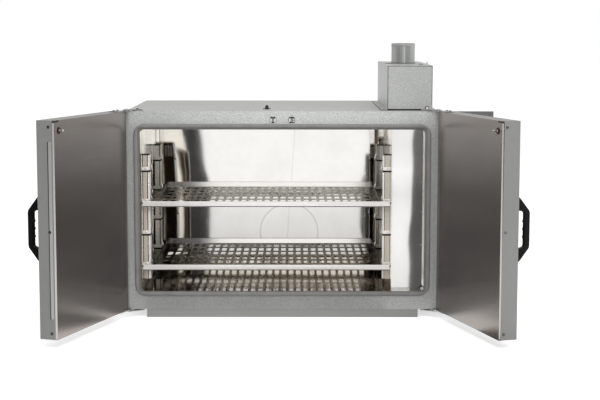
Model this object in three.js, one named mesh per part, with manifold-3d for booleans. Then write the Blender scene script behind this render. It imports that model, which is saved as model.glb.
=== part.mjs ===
// Bench-top drying oven with two doors, a side blower and an exhaust duct on top.
// Millimetres, +Z up, the doors face -Y. The origin is the centre of the base's underside.
import * as THREE from 'three';
import { mergeVertices } from 'three/addons/utils/BufferGeometryUtils.js';
import Module from 'manifold-3d';

const wasm = await Module();
wasm.setup();

// Cabinet
const cabinetWidth = 952;
const cabinetHeight = 622;
const cabinetDepth = 656;
const bodyOverhang = 12;
const skin = 1.5;
const seat = 0.3;
const bendRadius = 3;
const flangeDepth = 12;
const wrapFoot = 20;

// Base
const baseHeight = 26;
const baseInset = 50.5;

// Face frame and gasket
const sideRail = 14;
const topRail = 39.5;
const bottomRail = 41.5;
const openingRadius = 36;
const gasketInnerRadius = 9;
const gasketWidth = 12.5;
const gasketProud = 5;
const gasketCrownShares = [[0, 0], [0, 0.45], [0.14, 0.86], [0.36, 1], [0.64, 1], [0.86, 0.86], [1, 0.45], [1, 0]];
const mouthLip = 6;
const sillLip = 3;
const headLip = 5;
const mouthFlangeLap = 7;

// Chamber
const linerSheet = 1.2;
const backBuild = 38;
const linerRadius = 8;

// Air plenum on the right of the chamber
const plenumWidth = 100.5;
const plenumPanelSetback = 38;
const plenumReturn = 10;
const inletRadius = 62;
const airSlotWidth = 12;
const airSlotHeight = 46;
const airSlotCount = 9;
const airSlotMargin = 38;

// Shelves and the pilasters that carry them
const shelfPitch = 100.5;
const lowestLedge = 70;
const ledgeSlot = 5.5;
const pilasterDepth = 27.5;
const pilasterWidth = 34;
const pilasterFlange = 11;
const pilasterSheet = 1.5;
const pilasterFoot = 33;
const pilasterHead = 55;
const frontPilasterSetback = 42;
const pilasterSpacing = 373;
const louvreHeight = 17;
const louvreProud = 4.5;
const louvreLength = 22;
const shelfSheet = 1.5;
const shelfSideGap = 6;
const runnerGap = 1.5;
const runnerClearance = 1;
const runnerRise = 8;
const rimClearance = 4;
const shelfRim = 18;
const shelfHem = 8;
const shelfNoseSetback = 22;
const shelfBackGap = 14;
const slotPitchAcross = 25.4;
const slotWidth = 18;
const slotRows = 4;
const slotWeb = 27;

// Doors
const doorThickness = 56.5;
const doorGap = 3;
const pivotOut = 6;
const pivotForward = 7;
const leftOpening = 108.3;
const rightOpening = 106.3;
const panelSheet = 1.2;
const panelSkirt = 7;
const sealStripWidth = 17.5;
const sealStripThickness = 1.2;
const sealStripInset = 2;

// Door handles
const handleLength = 188;
const handleStandoff = 45;
const handleWidth = 20;
const handleEdgeOffset = 27;
const handleGrip = 104;
const handleBar = 15;
const handleCorner = 9.5;
const fingerGap = 109;
const fingerScallop = 2.2;
const fingerScallops = 4;
const scallopSteps = 4;
const handleRounding = 3;

// Hinges
const hingeSheet = 2.5;
const earRadius = 11;
const pinRadius = 4;
const pinHeadRadius = 7;
const pinHeadHeight = 3;
const pinTail = 3;
const pinHeadCrownShare = 0.8;
const pinHeadRiseShare = 0.7;
const doorLeafLength = 52;
const doorLeafWidth = 30;
const footWidth = 30;
const footDepth = 36;
const footSetback = 9;
const riserDepth = 5;

// Door catches
const catchOffset = 29;
const catchSize = 22;
const catchDepth = 20;
const catchProud = 1.2;
const catchWall = 3;
const catchClearOfOpening = 2;
const rollerRadius = 2.8;
const strikeLength = 16;
const strikeBallRadius = 3.5;
const strikeNeckRadius = 2;
const strikeBaseRadius = 7;
const strikeBaseHeight = 1.6;
const strikeClearance = 1.8;

// Blower
const shaftRadius = 8;
const wheelRadius = 90;
const wheelHub = 20;
const wheelWidth = 56;
const wheelSheet = 3;
const wheelBlades = 16;
const bladeThickness = 2;
const bladeInnerShare = 0.66;
const bladeCurveShares = [[0, 0], [0.5, 0.6], [1, 1]];
const bladeSweep = 24;
const wheelClearance = 16;
const shaftHole = 13;
const motorRadius = 58;
const motorLength = 112;
const motorNose = 10;
const motorNoseRadius = 22;
const motorStandoff = 38;
const bracketSheet = 3;
const bracketWidth = 150;
const bracketHeight = 96;
const bracketFoot = 24;

// Heater and probe
const heaterRadius = 4;
const heaterMargin = 46;
const heaterBend = 20;
const heaterSpread = 60;
const heaterTail = 26;
const heaterSteps = 96;
const heaterClearance = 1;
const heaterArcSteps = 3;
const probeRadius = 3;
const probeReach = 62;
const probeDrop = 70;
const probeTipShare = 0.7;

// Side housing and its controls
const housingWidth = 181;
const housingClearance = 54;
const housingSetback = 24;
const housingTopDrop = 31;
const housingBottomRise = 12;
const housingSheet = 1.5;
const panelSetback = 22;
const controlSheet = 2;
const panelEdge = 1;
const ventCount = 9;
const ventLength = 60;
const ventWidth = 5;
const ventPitch = 14;
const controllerSize = 48;
const controllerBody = 44;
const controllerLength = 82;
const bezelThickness = 6;
const windowRecess = 1.5;
const windowInset = 6;
const switchWidth = 22;
const switchHeight = 30;
const switchBody = 26;
const switchRim = 2.5;
const rockerTravel = 16;
const rockerDish = 2.5;
const rockerInnerAngle = 54;
const rockerOuterAngle = 153;
const knobRadius = 17;
const knobHeight = 16;
const knobFlutes = 12;
const knobCrownShare = 0.82;
const knobShoulderShare = 0.9;
const fluteRadius = 2.5;
const spindleRadius = 3;
const thermostatSize = 42;
const thermostatDepth = 30;
const lampRadius = 7;
const lampProud = 7;
const lampBodyRadius = 5.5;
const lampBody = 22;
const lampDomeShares = [[0, 1], [0.6, 0.9], [1, 0.5], [1, 0]];
const controlPitch = 78;
const controlTop = 92;
const glandRadius = 11;
const glandNutRadius = 15;
const glandBore = 6;
const glandLength = 20;
const glandHeight = 70;

// Exhaust
const ductWidth = 141;
const ductHeight = 137;
const ductDepth = 540;
const ductSheet = 1.2;
const ductSetback = 50;
const ductRightInset = 7;
const ductLift = 3;
const ductFlange = 19;
const flueRadius = 38.2;
const flueWall = 1.2;
const flueRise = 66;
const flueSetback = 290;
const flueOffCentre = 5;
const flueDrop = 60;
const flueCollar = 3;
const flueBead = 1.4;
const exhaustPort = 32;
const damperThickness = 1.5;
const damperSpindle = 3;
const damperLever = 34;
const damperLeverWidth = 9;
const damperLeverThickness = 3;
const damperDrop = 32;
const damperClearance = 2;
const plugRadius = 12.5;
const plugStud = 2.5;
const plugHeight = 12;
const plugWasher = 1.6;
const plugSetback = 122;
const plugGripRadius = 6.4;
const plugCrownRadius = 3.6;
const plugNeck = 1.5;

// Fineness of curves and the slack of a cut
const cornerSteps = 6;
const roundSides = 24;
const flueSides = 32;
const smallSides = 14;
const overrun = 5;
const mergeDistance = 1e-4;

// Materials
const paint = (color, roughness) => new THREE.MeshStandardMaterial({ color, roughness, metalness: 0.2 });
const metal = (color, roughness) => new THREE.MeshStandardMaterial({ color, roughness, metalness: 1 });
const dull = (color, roughness) => new THREE.MeshStandardMaterial({ color, roughness, metalness: 0 });
const hammeredGrey = paint(0xb9bbba, 0.45);
const panelGrey = paint(0x5b5d5d, 0.5);
const mirrorSteel = metal(0xe6e3dd, 0.12);
const brushedSteel = metal(0x9c958b, 0.34);
const shelfSteel = metal(0xcfcac2, 0.22);
const zincSteel = metal(0xa9abaa, 0.38);
const darkSteel = metal(0x4a4a4a, 0.45);
const silicone = dull(0x82827f, 0.7);
const blackPlastic = dull(0x1c1c1e, 0.42);
const mineralWool = dull(0xcdbf8e, 0.95);
const redLens = dull(0xb5201a, 0.2);

// Places worked out from the sizes, with y = 0 at the face frame and z = 0 at the cabinet's bottom
const halfWidth = cabinetWidth / 2;
const bodyHalf = halfWidth + bodyOverhang;
const openingLow = bottomRail;
const openingHigh = cabinetHeight - topRail;
const openingHalf = halfWidth - sideRail;
const chamberHalf = openingHalf - gasketWidth - mouthLip;
const chamberFloor = openingLow + gasketWidth + sillLip;
const chamberCeiling = openingHigh - gasketWidth - headLip;
const chamberBack = cabinetDepth - backBuild;
const mouthFlange = skin + seat;
const plenumLeft = chamberHalf - plenumWidth;
const shelfMiddle = (plenumLeft - chamberHalf) / 2;
const shelfHalf = (plenumLeft + chamberHalf) / 2 - shelfSideGap;
const plateHalf = (plenumLeft + chamberHalf) / 2 - pilasterDepth - runnerGap;
const ledgeRun = chamberCeiling - chamberFloor - lowestLedge - pilasterHead;
const ledges = Array.from({ length: Math.floor(ledgeRun / shelfPitch) + 1 }, (_, level) =>
  chamberFloor + lowestLedge + level * shelfPitch);
const blowerY = (plenumPanelSetback + chamberBack) / 2;
const blowerZ = (chamberFloor + chamberCeiling) / 2;
const pivotX = halfWidth + pivotOut;
const doorWidth = halfWidth - doorGap / 2;
const doorInner = pivotForward - gasketProud - seat;
const doorOuter = doorInner - doorThickness;
const catchZ = openingHigh + catchClearOfOpening + catchSize / 2;
const pocketLow = catchZ - catchSize / 2 + catchWall;
const strikeZ = pocketLow + strikeBallRadius + strikeClearance;
const rollerZ = strikeZ + strikeNeckRadius + seat + rollerRadius;
const housingLeft = bodyHalf + seat;
const housingRight = halfWidth + housingWidth;
const housingTop = cabinetHeight - housingTopDrop;
const housingBack = blowerY + motorRadius + housingClearance;
const panelTop = cabinetHeight - panelEdge;
const ductRight = halfWidth - ductRightInset;
const ductLeft = ductRight - ductWidth;
const ductX = (ductLeft + ductRight) / 2;
const flueX = ductX - flueOffCentre;
const ductBottom = cabinetHeight + ductLift;
const ductTop = ductBottom + ductHeight;
const damperZ = ductTop - damperDrop;

// Small helpers that turn closed three.js geometry into solids and back
const flipped = (list) => list.map((_, i) => list[i - (i % 3) + 2 - (i % 3)]);

function closed(geometry) {
  const bare = geometry.clone();
  for (const name of ['normal', 'uv']) bare.deleteAttribute(name);
  const merged = mergeVertices(bare, mergeDistance);
  const place = merged.attributes.position.array;
  const corner = (i) => new THREE.Vector3(place[3 * i], place[3 * i + 1], place[3 * i + 2]);
  const faces = [];
  let volume = 0;
  for (let i = 0; i < merged.index.count; i += 3) {
    const [a, b, c] = [0, 1, 2].map((k) => merged.index.getX(i + k));
    if (a === b || b === c || c === a) continue;
    faces.push(a, b, c);
    volume += corner(a).dot(corner(b).cross(corner(c)));
  }
  const result = new THREE.BufferGeometry();
  result.setAttribute('position', new THREE.BufferAttribute(new Float32Array(place), 3));
  result.setIndex(volume < 0 ? flipped(faces) : faces);
  return result;
}

function solid(geometry) {
  const shape = closed(geometry);
  return new wasm.Manifold(new wasm.Mesh({
    numProp: 3,
    vertProperties: new Float32Array(shape.attributes.position.array),
    triVerts: new Uint32Array(shape.index.array),
  }));
}

function surface(body) {
  const mesh = body.getMesh();
  const result = new THREE.BufferGeometry();
  result.setAttribute('position', new THREE.BufferAttribute(new Float32Array(mesh.vertProperties), 3));
  result.setIndex(new THREE.BufferAttribute(new Uint32Array(mesh.triVerts), 1));
  return result;
}

const cut = (first, ...others) => surface(others.reduce((body, other) => body.subtract(solid(other)), solid(first)));
const join = (first, ...others) => surface(others.reduce((body, other) => body.add(solid(other)), solid(first)));
const common = (first, second) => surface(solid(first).intersect(solid(second)));

// Basic forms, each placed by the ranges that it fills
function block([x0, x1], [y0, y1], [z0, z1]) {
  const geometry = new THREE.BoxGeometry(x1 - x0, y1 - y0, z1 - z0);
  return geometry.translate((x0 + x1) / 2, (y0 + y1) / 2, (z0 + z1) / 2);
}

// An outline pushed from low to high: drawn in (y, z) along x, in (x, z) along y, in (x, y) along z
function extrude(outline, along, low, high, options = {}) {
  const geometry = new THREE.ExtrudeGeometry(outline, {
    depth: high - low, bevelEnabled: false, curveSegments: cornerSteps, ...options,
  });
  const [x, y, z] = [[1, 0, 0], [0, 1, 0], [0, 0, 1]].map((v) => new THREE.Vector3(...v));
  const turn = new THREE.Matrix4();
  if (along === 'x') turn.makeBasis(y, z, x).setPosition(low, 0, 0);
  if (along === 'y') turn.makeBasis(x, z, y.clone().negate()).setPosition(0, high, 0);
  if (along === 'z') turn.makeTranslation(0, 0, low);
  return geometry.applyMatrix4(turn);
}

// A profile of [radius, height] pairs revolved about x, y or z through a centre
function revolve(profile, along, centre, sides = roundSides) {
  const points = profile.map(([radius, height]) => new THREE.Vector2(radius, height));
  const geometry = new THREE.LatheGeometry(points, sides);
  if (along === 'x') geometry.rotateZ(-Math.PI / 2);
  if (along === 'z') geometry.rotateX(Math.PI / 2);
  return geometry.translate(...centre);
}

const rod = (radius, along, low, high, centre, sides = roundSides) =>
  revolve([[0, low], [radius, low], [radius, high], [0, high]], along, centre, sides);

const tube = (inner, outer, along, low, high, centre, sides = roundSides) =>
  revolve([[inner, low], [outer, low], [outer, high], [inner, high], [inner, low]], along, centre, sides);

function rectangle(x0, x1, z0, z1, radius = 0) {
  const shape = new THREE.Shape();
  if (!radius) {
    return shape.moveTo(x0, z0).lineTo(x1, z0).lineTo(x1, z1).lineTo(x0, z1).closePath();
  }
  const quarter = Math.PI / 2;
  shape.absarc(x1 - radius, z0 + radius, radius, -quarter, 0, false);
  shape.absarc(x1 - radius, z1 - radius, radius, 0, quarter, false);
  shape.absarc(x0 + radius, z1 - radius, radius, quarter, 2 * quarter, false);
  shape.absarc(x0 + radius, z0 + radius, radius, 2 * quarter, 3 * quarter, false);
  return shape.closePath();
}

// A round-cornered loop of points in the plane of the given y
function loop(x0, x1, z0, z1, radius, y) {
  const points = [];
  const corners = [[x1 - radius, z0 + radius], [x1 - radius, z1 - radius],
    [x0 + radius, z1 - radius], [x0 + radius, z0 + radius]];
  corners.forEach(([x, z], quarter) => {
    for (let i = 0; i <= cornerSteps; i++) {
      const angle = (quarter - 1 + i / cornerSteps) * Math.PI / 2;
      points.push([x + radius * Math.cos(angle), y, z + radius * Math.sin(angle)]);
    }
  });
  return points;
}

// A skin through loops of equal length, capped at both ends unless it comes round to the first loop
function skinThrough(loops, comesRound = false) {
  const count = loops[0].length;
  const index = [];
  const spans = comesRound ? loops.length : loops.length - 1;
  for (let i = 0; i < spans; i++) {
    const here = i * count;
    const there = ((i + 1) % loops.length) * count;
    for (let j = 0; j < count; j++) {
      const k = (j + 1) % count;
      index.push(here + j, here + k, there + k, here + j, there + k, there + j);
    }
  }
  const end = (loops.length - 1) * count;
  for (let j = 1; j < count - 1 && !comesRound; j++) {
    index.push(0, j + 1, j, end, end + j, end + j + 1);
  }
  const geometry = new THREE.BufferGeometry();
  geometry.setAttribute('position', new THREE.Float32BufferAttribute(loops.flat(2), 3));
  geometry.setIndex(index);
  return closed(geometry);
}

// A pressed pan in the (x, z) plane: its face lies at y = face and its flange runs to y = face + depth
function pan([x0, x1], [z0, z1], face, depth, sheet, inset = 0, radius = 0) {
  const way = Math.sign(depth);
  const ring = (shrink, y) => loop(x0 + shrink, x1 - shrink, z0 + shrink, z1 - shrink,
    Math.max(radius - shrink, 0), y);
  return skinThrough([
    ring(0, face), ring(0, face + way * sheet), ring(inset, face + way * sheet), ring(inset, face + depth),
    ring(inset + sheet, face + depth), ring(inset + sheet, face + way * sheet),
  ]);
}

const mirrorX = (geometry) => closed(geometry.clone().scale(-1, 1, 1));
const mirrorZ = (geometry, about) => closed(geometry.clone().scale(1, 1, -1).translate(0, 0, 2 * about));

// The object, with its groups
const oven = new THREE.Group();
const leftDoor = new THREE.Group();
const rightDoor = new THREE.Group();
oven.position.set(0, -cabinetDepth / 2, baseHeight);
leftDoor.position.set(-pivotX, -pivotForward, 0);
leftDoor.rotation.z = THREE.MathUtils.degToRad(-leftOpening);
rightDoor.position.set(pivotX, -pivotForward, 0);
rightDoor.rotation.z = THREE.MathUtils.degToRad(rightOpening);
oven.add(leftDoor, rightDoor);

function add(name, geometry, material, group = oven) {
  const mesh = new THREE.Mesh(closed(geometry), material);
  mesh.name = name;
  group.add(mesh);
  return mesh;
}

// Places where rods pass from the housing through the cabinet's right side
const heaterTails = [-1, 1].map((way) => [blowerY + way * heaterSpread / 2, chamberFloor + heaterMargin]);
const probePlace = [blowerY, chamberCeiling - probeDrop];
const sideRod = (radius, [y, z], low, high) => rod(radius, 'x', low, high, [0, y, z], smallSides);
const sideHoles = (slack, low, high) => [
  ...heaterTails.map((place) => sideRod(heaterRadius + heaterClearance + slack, place, low, high)),
  sideRod(probeRadius + slack, probePlace, low, high),
  rod(shaftHole, 'x', low, high, [0, blowerY, blowerZ]),
];
const catchPocket = (way, slack) => block(
  [way * catchOffset - catchSize / 2 - slack, way * catchOffset + catchSize / 2 + slack],
  [-overrun, catchDepth + slack], [catchZ - catchSize / 2 - slack, catchZ + catchSize / 2 + slack]);
const catchPockets = (slack) => [-1, 1].map((way) => catchPocket(way, slack));

function makeBase() {
  const half = halfWidth - baseInset;
  const back = cabinetDepth - baseInset;
  const low = -baseHeight;
  const outside = block([-half, half], [0, back], [low, -seat]);
  const inside = block([-half + skin, half - skin], [skin, back - skin], [low + skin, overrun]);
  return cut(outside, inside);
}

function makeWrap() {
  const outline = (inset, foot) => {
    const side = bodyHalf - inset;
    const top = cabinetHeight - inset;
    const radius = bendRadius - inset;
    const shape = new THREE.Shape();
    shape.moveTo(-side + foot, inset).lineTo(-side, inset).lineTo(-side, top - radius);
    shape.absarc(-side + radius, top - radius, radius, Math.PI, Math.PI / 2, true);
    shape.absarc(side - radius, top - radius, radius, Math.PI / 2, 0, true);
    return shape.lineTo(side, inset).lineTo(side - foot, inset);
  };
  const outer = outline(0, wrapFoot).getPoints(cornerSteps);
  const inner = outline(skin, wrapFoot - skin).getPoints(cornerSteps).reverse();
  const front = skin + seat;
  const sheet = extrude(new THREE.Shape([...outer, ...inner]), 'y', front, cabinetDepth - skin - seat);
  const returns = [-1, 1].map((way) => {
    const reach = [way * bodyHalf, way * (halfWidth - skin)];
    return block([Math.min(...reach), Math.max(...reach)], [front, front + skin], [bendRadius, cabinetHeight - bendRadius]);
  });
  const port = rod(exhaustPort, 'z', cabinetHeight - overrun, cabinetHeight + overrun, [flueX, flueSetback, 0]);
  const plugHole = rod(plugStud + seat, 'z', cabinetHeight - overrun, cabinetHeight + overrun,
    [shelfMiddle, plugSetback, 0], smallSides);
  return cut(join(sheet, ...returns), port, plugHole, ...sideHoles(seat, bodyHalf - overrun, bodyHalf + overrun));
}

function makeFrontFrame() {
  const frame = pan([-halfWidth, halfWidth], [0, cabinetHeight], 0, flangeDepth, skin, skin + seat,
    bendRadius);
  const opening = rectangle(-openingHalf, openingHalf, openingLow, openingHigh, openingRadius);
  return cut(frame, extrude(opening, 'y', -overrun, flangeDepth + overrun), ...catchPockets(seat));
}

const makeBackPanel = () =>
  pan([-bodyHalf, bodyHalf], [0, cabinetHeight], cabinetDepth, -flangeDepth, skin, skin + seat,
    bendRadius);

function makeBottomPan() {
  const half = bodyHalf - skin - seat;
  const low = skin + seat;
  const rise = low + flangeDepth;
  const [front, back] = [skin + flangeDepth, cabinetDepth - skin - flangeDepth];
  const section = new THREE.Shape();
  section.moveTo(-half, low).lineTo(half, low).lineTo(half, rise).lineTo(half - skin, rise);
  section.lineTo(half - skin, low + skin).lineTo(-half + skin, low + skin).lineTo(-half + skin, rise);
  section.lineTo(-half, rise).closePath();
  return extrude(section, 'y', front, back);
}

function makeLiner() {
  const lap = gasketWidth + mouthFlangeLap;
  const ring = (grow, y) => loop(-chamberHalf - grow, chamberHalf + grow, chamberFloor - grow,
    chamberCeiling + grow, linerRadius + grow, y);
  const mouth = (y) => loop(-openingHalf - mouthFlangeLap, openingHalf + mouthFlangeLap,
    openingLow - mouthFlangeLap, openingHigh + mouthFlangeLap, linerRadius + lap, y);
  const shell = skinThrough([
    ring(linerSheet, chamberBack + linerSheet), ring(linerSheet, mouthFlange + linerSheet),
    mouth(mouthFlange + linerSheet), mouth(mouthFlange), ring(0, mouthFlange), ring(0, chamberBack),
  ]);
  const port = rod(exhaustPort, 'z', chamberCeiling - overrun, chamberCeiling + overrun, [flueX, flueSetback, 0]);
  return cut(shell, port, ...catchPockets(seat), ...sideHoles(seat, chamberHalf - overrun, chamberHalf + overrun));
}

function makeInsulation() {
  const side = bodyHalf - 2 * skin - 2 * seat;
  const gap = linerSheet + seat;
  const front = skin + flangeDepth + seat;
  const outside = block([-side, side], [front, cabinetDepth - skin - flangeDepth - seat],
    [2 * skin + 2 * seat, cabinetHeight - 2 * skin - 2 * seat]);
  const inside = block([-chamberHalf - gap, chamberHalf + gap], [-overrun, chamberBack + gap],
    [chamberFloor - gap, chamberCeiling + gap]);
  const port = rod(exhaustPort + seat, 'z', chamberCeiling - overrun, cabinetHeight, [flueX, flueSetback, 0]);
  return cut(outside, inside, port, ...catchPockets(seat), ...sideHoles(seat, chamberHalf, bodyHalf));
}

function makeGasket() {
  const base = mouthFlange - seat;
  const rise = base + gasketProud;
  return skinThrough(gasketCrownShares.map(([acrossShare, riseShare]) => {
    const inset = seat + acrossShare * (gasketWidth - seat);
    const radius = openingRadius - seat - acrossShare * (openingRadius - seat - gasketInnerRadius);
    return loop(-openingHalf + inset, openingHalf - inset, openingLow + inset, openingHigh - inset,
      radius, base - riseShare * rise);
  }), true);
}

function makePartition() {
  const front = plenumPanelSetback + linerSheet + seat;
  const [low, high] = [chamberFloor + seat, chamberCeiling - seat];
  const through = [plenumLeft - overrun, plenumLeft + overrun];
  const sheet = block([plenumLeft, plenumLeft + linerSheet], [front, chamberBack - seat], [low, high]);
  const inlet = rod(inletRadius, 'x', ...through, [0, blowerY, blowerZ]);
  const run = chamberBack - front - 2 * airSlotMargin - airSlotWidth;
  const slots = Array.from({ length: airSlotCount }, (_, i) => {
    const y = front + airSlotMargin + run * i / (airSlotCount - 1);
    return [low + airSlotMargin, high - airSlotMargin - airSlotHeight].map((z) =>
      block(through, [y, y + airSlotWidth], [z, z + airSlotHeight]));
  });
  return cut(sheet, inlet, ...slots.flat());
}

function makePlenumPanel() {
  const room = loop(-chamberHalf + seat, chamberHalf - seat, chamberFloor + seat, chamberCeiling - seat,
    linerRadius - seat, 0).map(([x, , z]) => new THREE.Vector2(x, z));
  const face = extrude(new THREE.Shape(room), 'y', plenumPanelSetback, plenumPanelSetback + linerSheet);
  const left = plenumLeft + linerSheet + seat;
  const tab = block([left, left + linerSheet], [plenumPanelSetback, plenumPanelSetback + plenumReturn],
    [chamberFloor + seat, chamberCeiling - seat]);
  const keep = block([plenumLeft, halfWidth], [0, cabinetDepth], [0, cabinetHeight]);
  return join(common(face, keep), tab);
}

// A pressed louvre over a ledge slot: a quarter of a thin elliptical shell, open at its lower edge
function makeLouvre(face, way, low, middle) {
  const quarter = (proud, height) => Array.from({ length: cornerSteps + 1 }, (_, i) => {
    const angle = i / cornerSteps * Math.PI / 2;
    return new THREE.Vector2(face + way * proud * Math.cos(angle), low + height * Math.sin(angle));
  });
  const inside = quarter(louvreProud - pilasterSheet, louvreHeight - pilasterSheet).reverse();
  const root = [louvreHeight - pilasterSheet, louvreHeight].map((height) =>
    new THREE.Vector2(face - way * pilasterSheet / 2, low + height));
  const outline = new THREE.Shape([...quarter(louvreProud, louvreHeight), root[1], root[0], ...inside]);
  return extrude(outline, 'y', middle - louvreLength / 2, middle + louvreLength / 2);
}

// A folded hat section that stands on a wall, with a slot and a louvre at each level for a shelf's runner
function makePilaster(wallX, way, front) {
  const at = (out, along) => new THREE.Vector2(wallX + way * out, front + along);
  const inner = pilasterDepth - pilasterSheet;
  const outside = [at(seat, -pilasterFlange), at(seat + pilasterSheet, -pilasterFlange),
    at(seat + pilasterSheet, 0), at(pilasterDepth, 0), at(pilasterDepth, pilasterWidth),
    at(seat + pilasterSheet, pilasterWidth), at(seat + pilasterSheet, pilasterWidth + pilasterFlange),
    at(seat, pilasterWidth + pilasterFlange)];
  const inside = [at(seat, pilasterWidth - pilasterSheet), at(inner, pilasterWidth - pilasterSheet),
    at(inner, pilasterSheet), at(seat, pilasterSheet)];
  const low = chamberFloor + pilasterFoot;
  const high = ledges[ledges.length - 1] + pilasterHead;
  const channel = extrude(new THREE.Shape([...outside, ...inside]), 'z', low, high);
  const face = wallX + way * pilasterDepth;
  const louvres = ledges.map((ledge) => makeLouvre(face, way, ledge + ledgeSlot, front + pilasterWidth / 2));
  const reach = [wallX + way * (shelfSideGap - runnerClearance), face + way * overrun];
  const slots = ledges.map((ledge) => block([Math.min(...reach), Math.max(...reach)],
    [front - overrun, front + pilasterWidth + overrun], [ledge, ledge + ledgeSlot]));
  return cut(join(channel, ...louvres), ...slots);
}

// A perforated pan hung from two side runners, with a back rim and a hemmed nose before the pilasters
function makeShelf(ledge) {
  const [left, right] = [shelfMiddle - plateHalf, shelfMiddle + plateHalf];
  const [farLeft, farRight] = [shelfMiddle - shelfHalf, shelfMiddle + shelfHalf];
  const front = shelfNoseSetback;
  const back = chamberBack - shelfBackGap;
  const runner = ledge + seat;
  const low = runner - runnerRise;
  const across = Math.floor((2 * plateHalf - 2 * shelfSheet) / slotPitchAcross);
  const pitchAlong = (back - front) / slotRows;
  const slots = [];
  for (let column = 0; column < across; column++) {
    const x = shelfMiddle + (column - (across - 1) / 2) * slotPitchAcross;
    for (let row = 0; row < slotRows; row++) {
      const y = front + row * pitchAlong + slotWeb / 2;
      slots.push(block([x - slotWidth / 2, x + slotWidth / 2], [y, y + pitchAlong - slotWeb],
        [low - overrun, low + overrun]));
    }
  }
  const plate = cut(block([left, right], [front, back], [low, low + shelfSheet]), ...slots);
  const sides = [[farLeft, left, left + shelfSheet], [farRight, right, right - shelfSheet]].flatMap(
    ([tip, edge, inside]) => [
      block([Math.min(edge, inside), Math.max(edge, inside)], [front, back], [low, runner + shelfSheet]),
      block([Math.min(tip, inside), Math.max(tip, inside)], [front, back], [runner, runner + shelfSheet]),
    ]);
  const rim = block([left + rimClearance, right - rimClearance], [back - shelfSheet, back], [low, low + shelfRim]);
  const nose = block([farLeft, farRight], [front, front + shelfSheet], [low, low + shelfRim]);
  const hem = block([farLeft, farRight], [front, front + shelfHem], [low + shelfRim - shelfSheet, low + shelfRim]);
  return join(plate, ...sides, rim, nose, hem);
}

// A centrifugal wheel: back disc with a hub, swept blades and a front ring
function makeWheel(front, back) {
  const centre = [0, blowerY, blowerZ];
  const inner = bladeInnerShare * wheelRadius;
  const disc = tube(shaftRadius + seat, wheelRadius, 'x', back - wheelSheet, back, centre);
  const hub = tube(shaftRadius + seat, wheelHub, 'x', back - wheelWidth / 2, back, centre);
  const ring = tube(inner, wheelRadius, 'x', front, front + wheelSheet, centre);
  const sweep = THREE.MathUtils.degToRad(bladeSweep);
  const blades = Array.from({ length: wheelBlades }, (_, i) => {
    const start = 2 * Math.PI * i / wheelBlades;
    const edge = (radiusShare, lag, side) => {
      const radius = inner + radiusShare * (wheelRadius - wheelSheet - inner);
      const angle = start - lag * sweep + side * bladeThickness / (2 * radius);
      return new THREE.Vector2(blowerY + radius * Math.cos(angle), blowerZ + radius * Math.sin(angle));
    };
    const there = bladeCurveShares.map(([out, lag]) => edge(out, lag, 1));
    const home = bladeCurveShares.map(([out, lag]) => edge(out, lag, -1)).reverse();
    return extrude(new THREE.Shape([...there, ...home]), 'x', front + wheelSheet / 2, back - wheelSheet / 2);
  });
  return join(disc, hub, ring, ...blades);
}

function makeBlower() {
  const centre = [0, blowerY, blowerZ];
  const wheelFront = plenumLeft + linerSheet + wheelClearance;
  const wheelBack = wheelFront + wheelWidth;
  const motorFace = bodyHalf + motorStandoff;
  add('blower_wheel', makeWheel(wheelFront, wheelBack), zincSteel);
  const shaft = revolve([[0, wheelFront + wheelSheet], [shaftRadius, wheelFront + wheelSheet],
    [shaftRadius, motorFace + motorLength / 2], [0, motorFace + motorLength / 2]], 'x', centre);
  add('blower_shaft', shaft, darkSteel);
  const crown = motorRadius - motorNose;
  const body = revolve([[0, motorFace - motorNose], [motorNoseRadius, motorFace - motorNose],
    [motorNoseRadius, motorFace], [crown, motorFace], [motorRadius, motorFace + motorNose],
    [motorRadius, motorFace + motorLength - motorNose], [crown, motorFace + motorLength],
    [0, motorFace + motorLength]], 'x', centre);
  const bore = rod(shaftRadius + seat, 'x', motorFace - motorNose - overrun,
    motorFace + motorLength / 2 + seat, centre);
  add('blower_motor', cut(body, bore), darkSteel);
  add('motor_bracket', makeMotorBracket(motorFace), zincSteel);
}

// A hat-shaped bracket: its feet stand on the cabinet's side and its web carries the motor's face
function makeMotorBracket(motorFace) {
  const web = motorFace - seat;
  const foot = bodyHalf + seat;
  const half = bracketWidth / 2;
  const leg = half - bracketSheet;
  const points = [[foot, -half - bracketFoot], [foot + bracketSheet, -half - bracketFoot],
    [foot + bracketSheet, -half], [web, -half], [web, half], [foot + bracketSheet, half],
    [foot + bracketSheet, half + bracketFoot], [foot, half + bracketFoot], [foot, leg],
    [web - bracketSheet, leg], [web - bracketSheet, -leg], [foot, -leg]];
  const section = new THREE.Shape(points.map(([x, y]) => new THREE.Vector2(x, blowerY + y)));
  const hat = extrude(section, 'z', blowerZ - bracketHeight / 2, blowerZ + bracketHeight / 2);
  return cut(hat, rod(motorNoseRadius + seat, 'x', foot, motorFace + overrun, [0, blowerY, blowerZ]));
}

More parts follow.
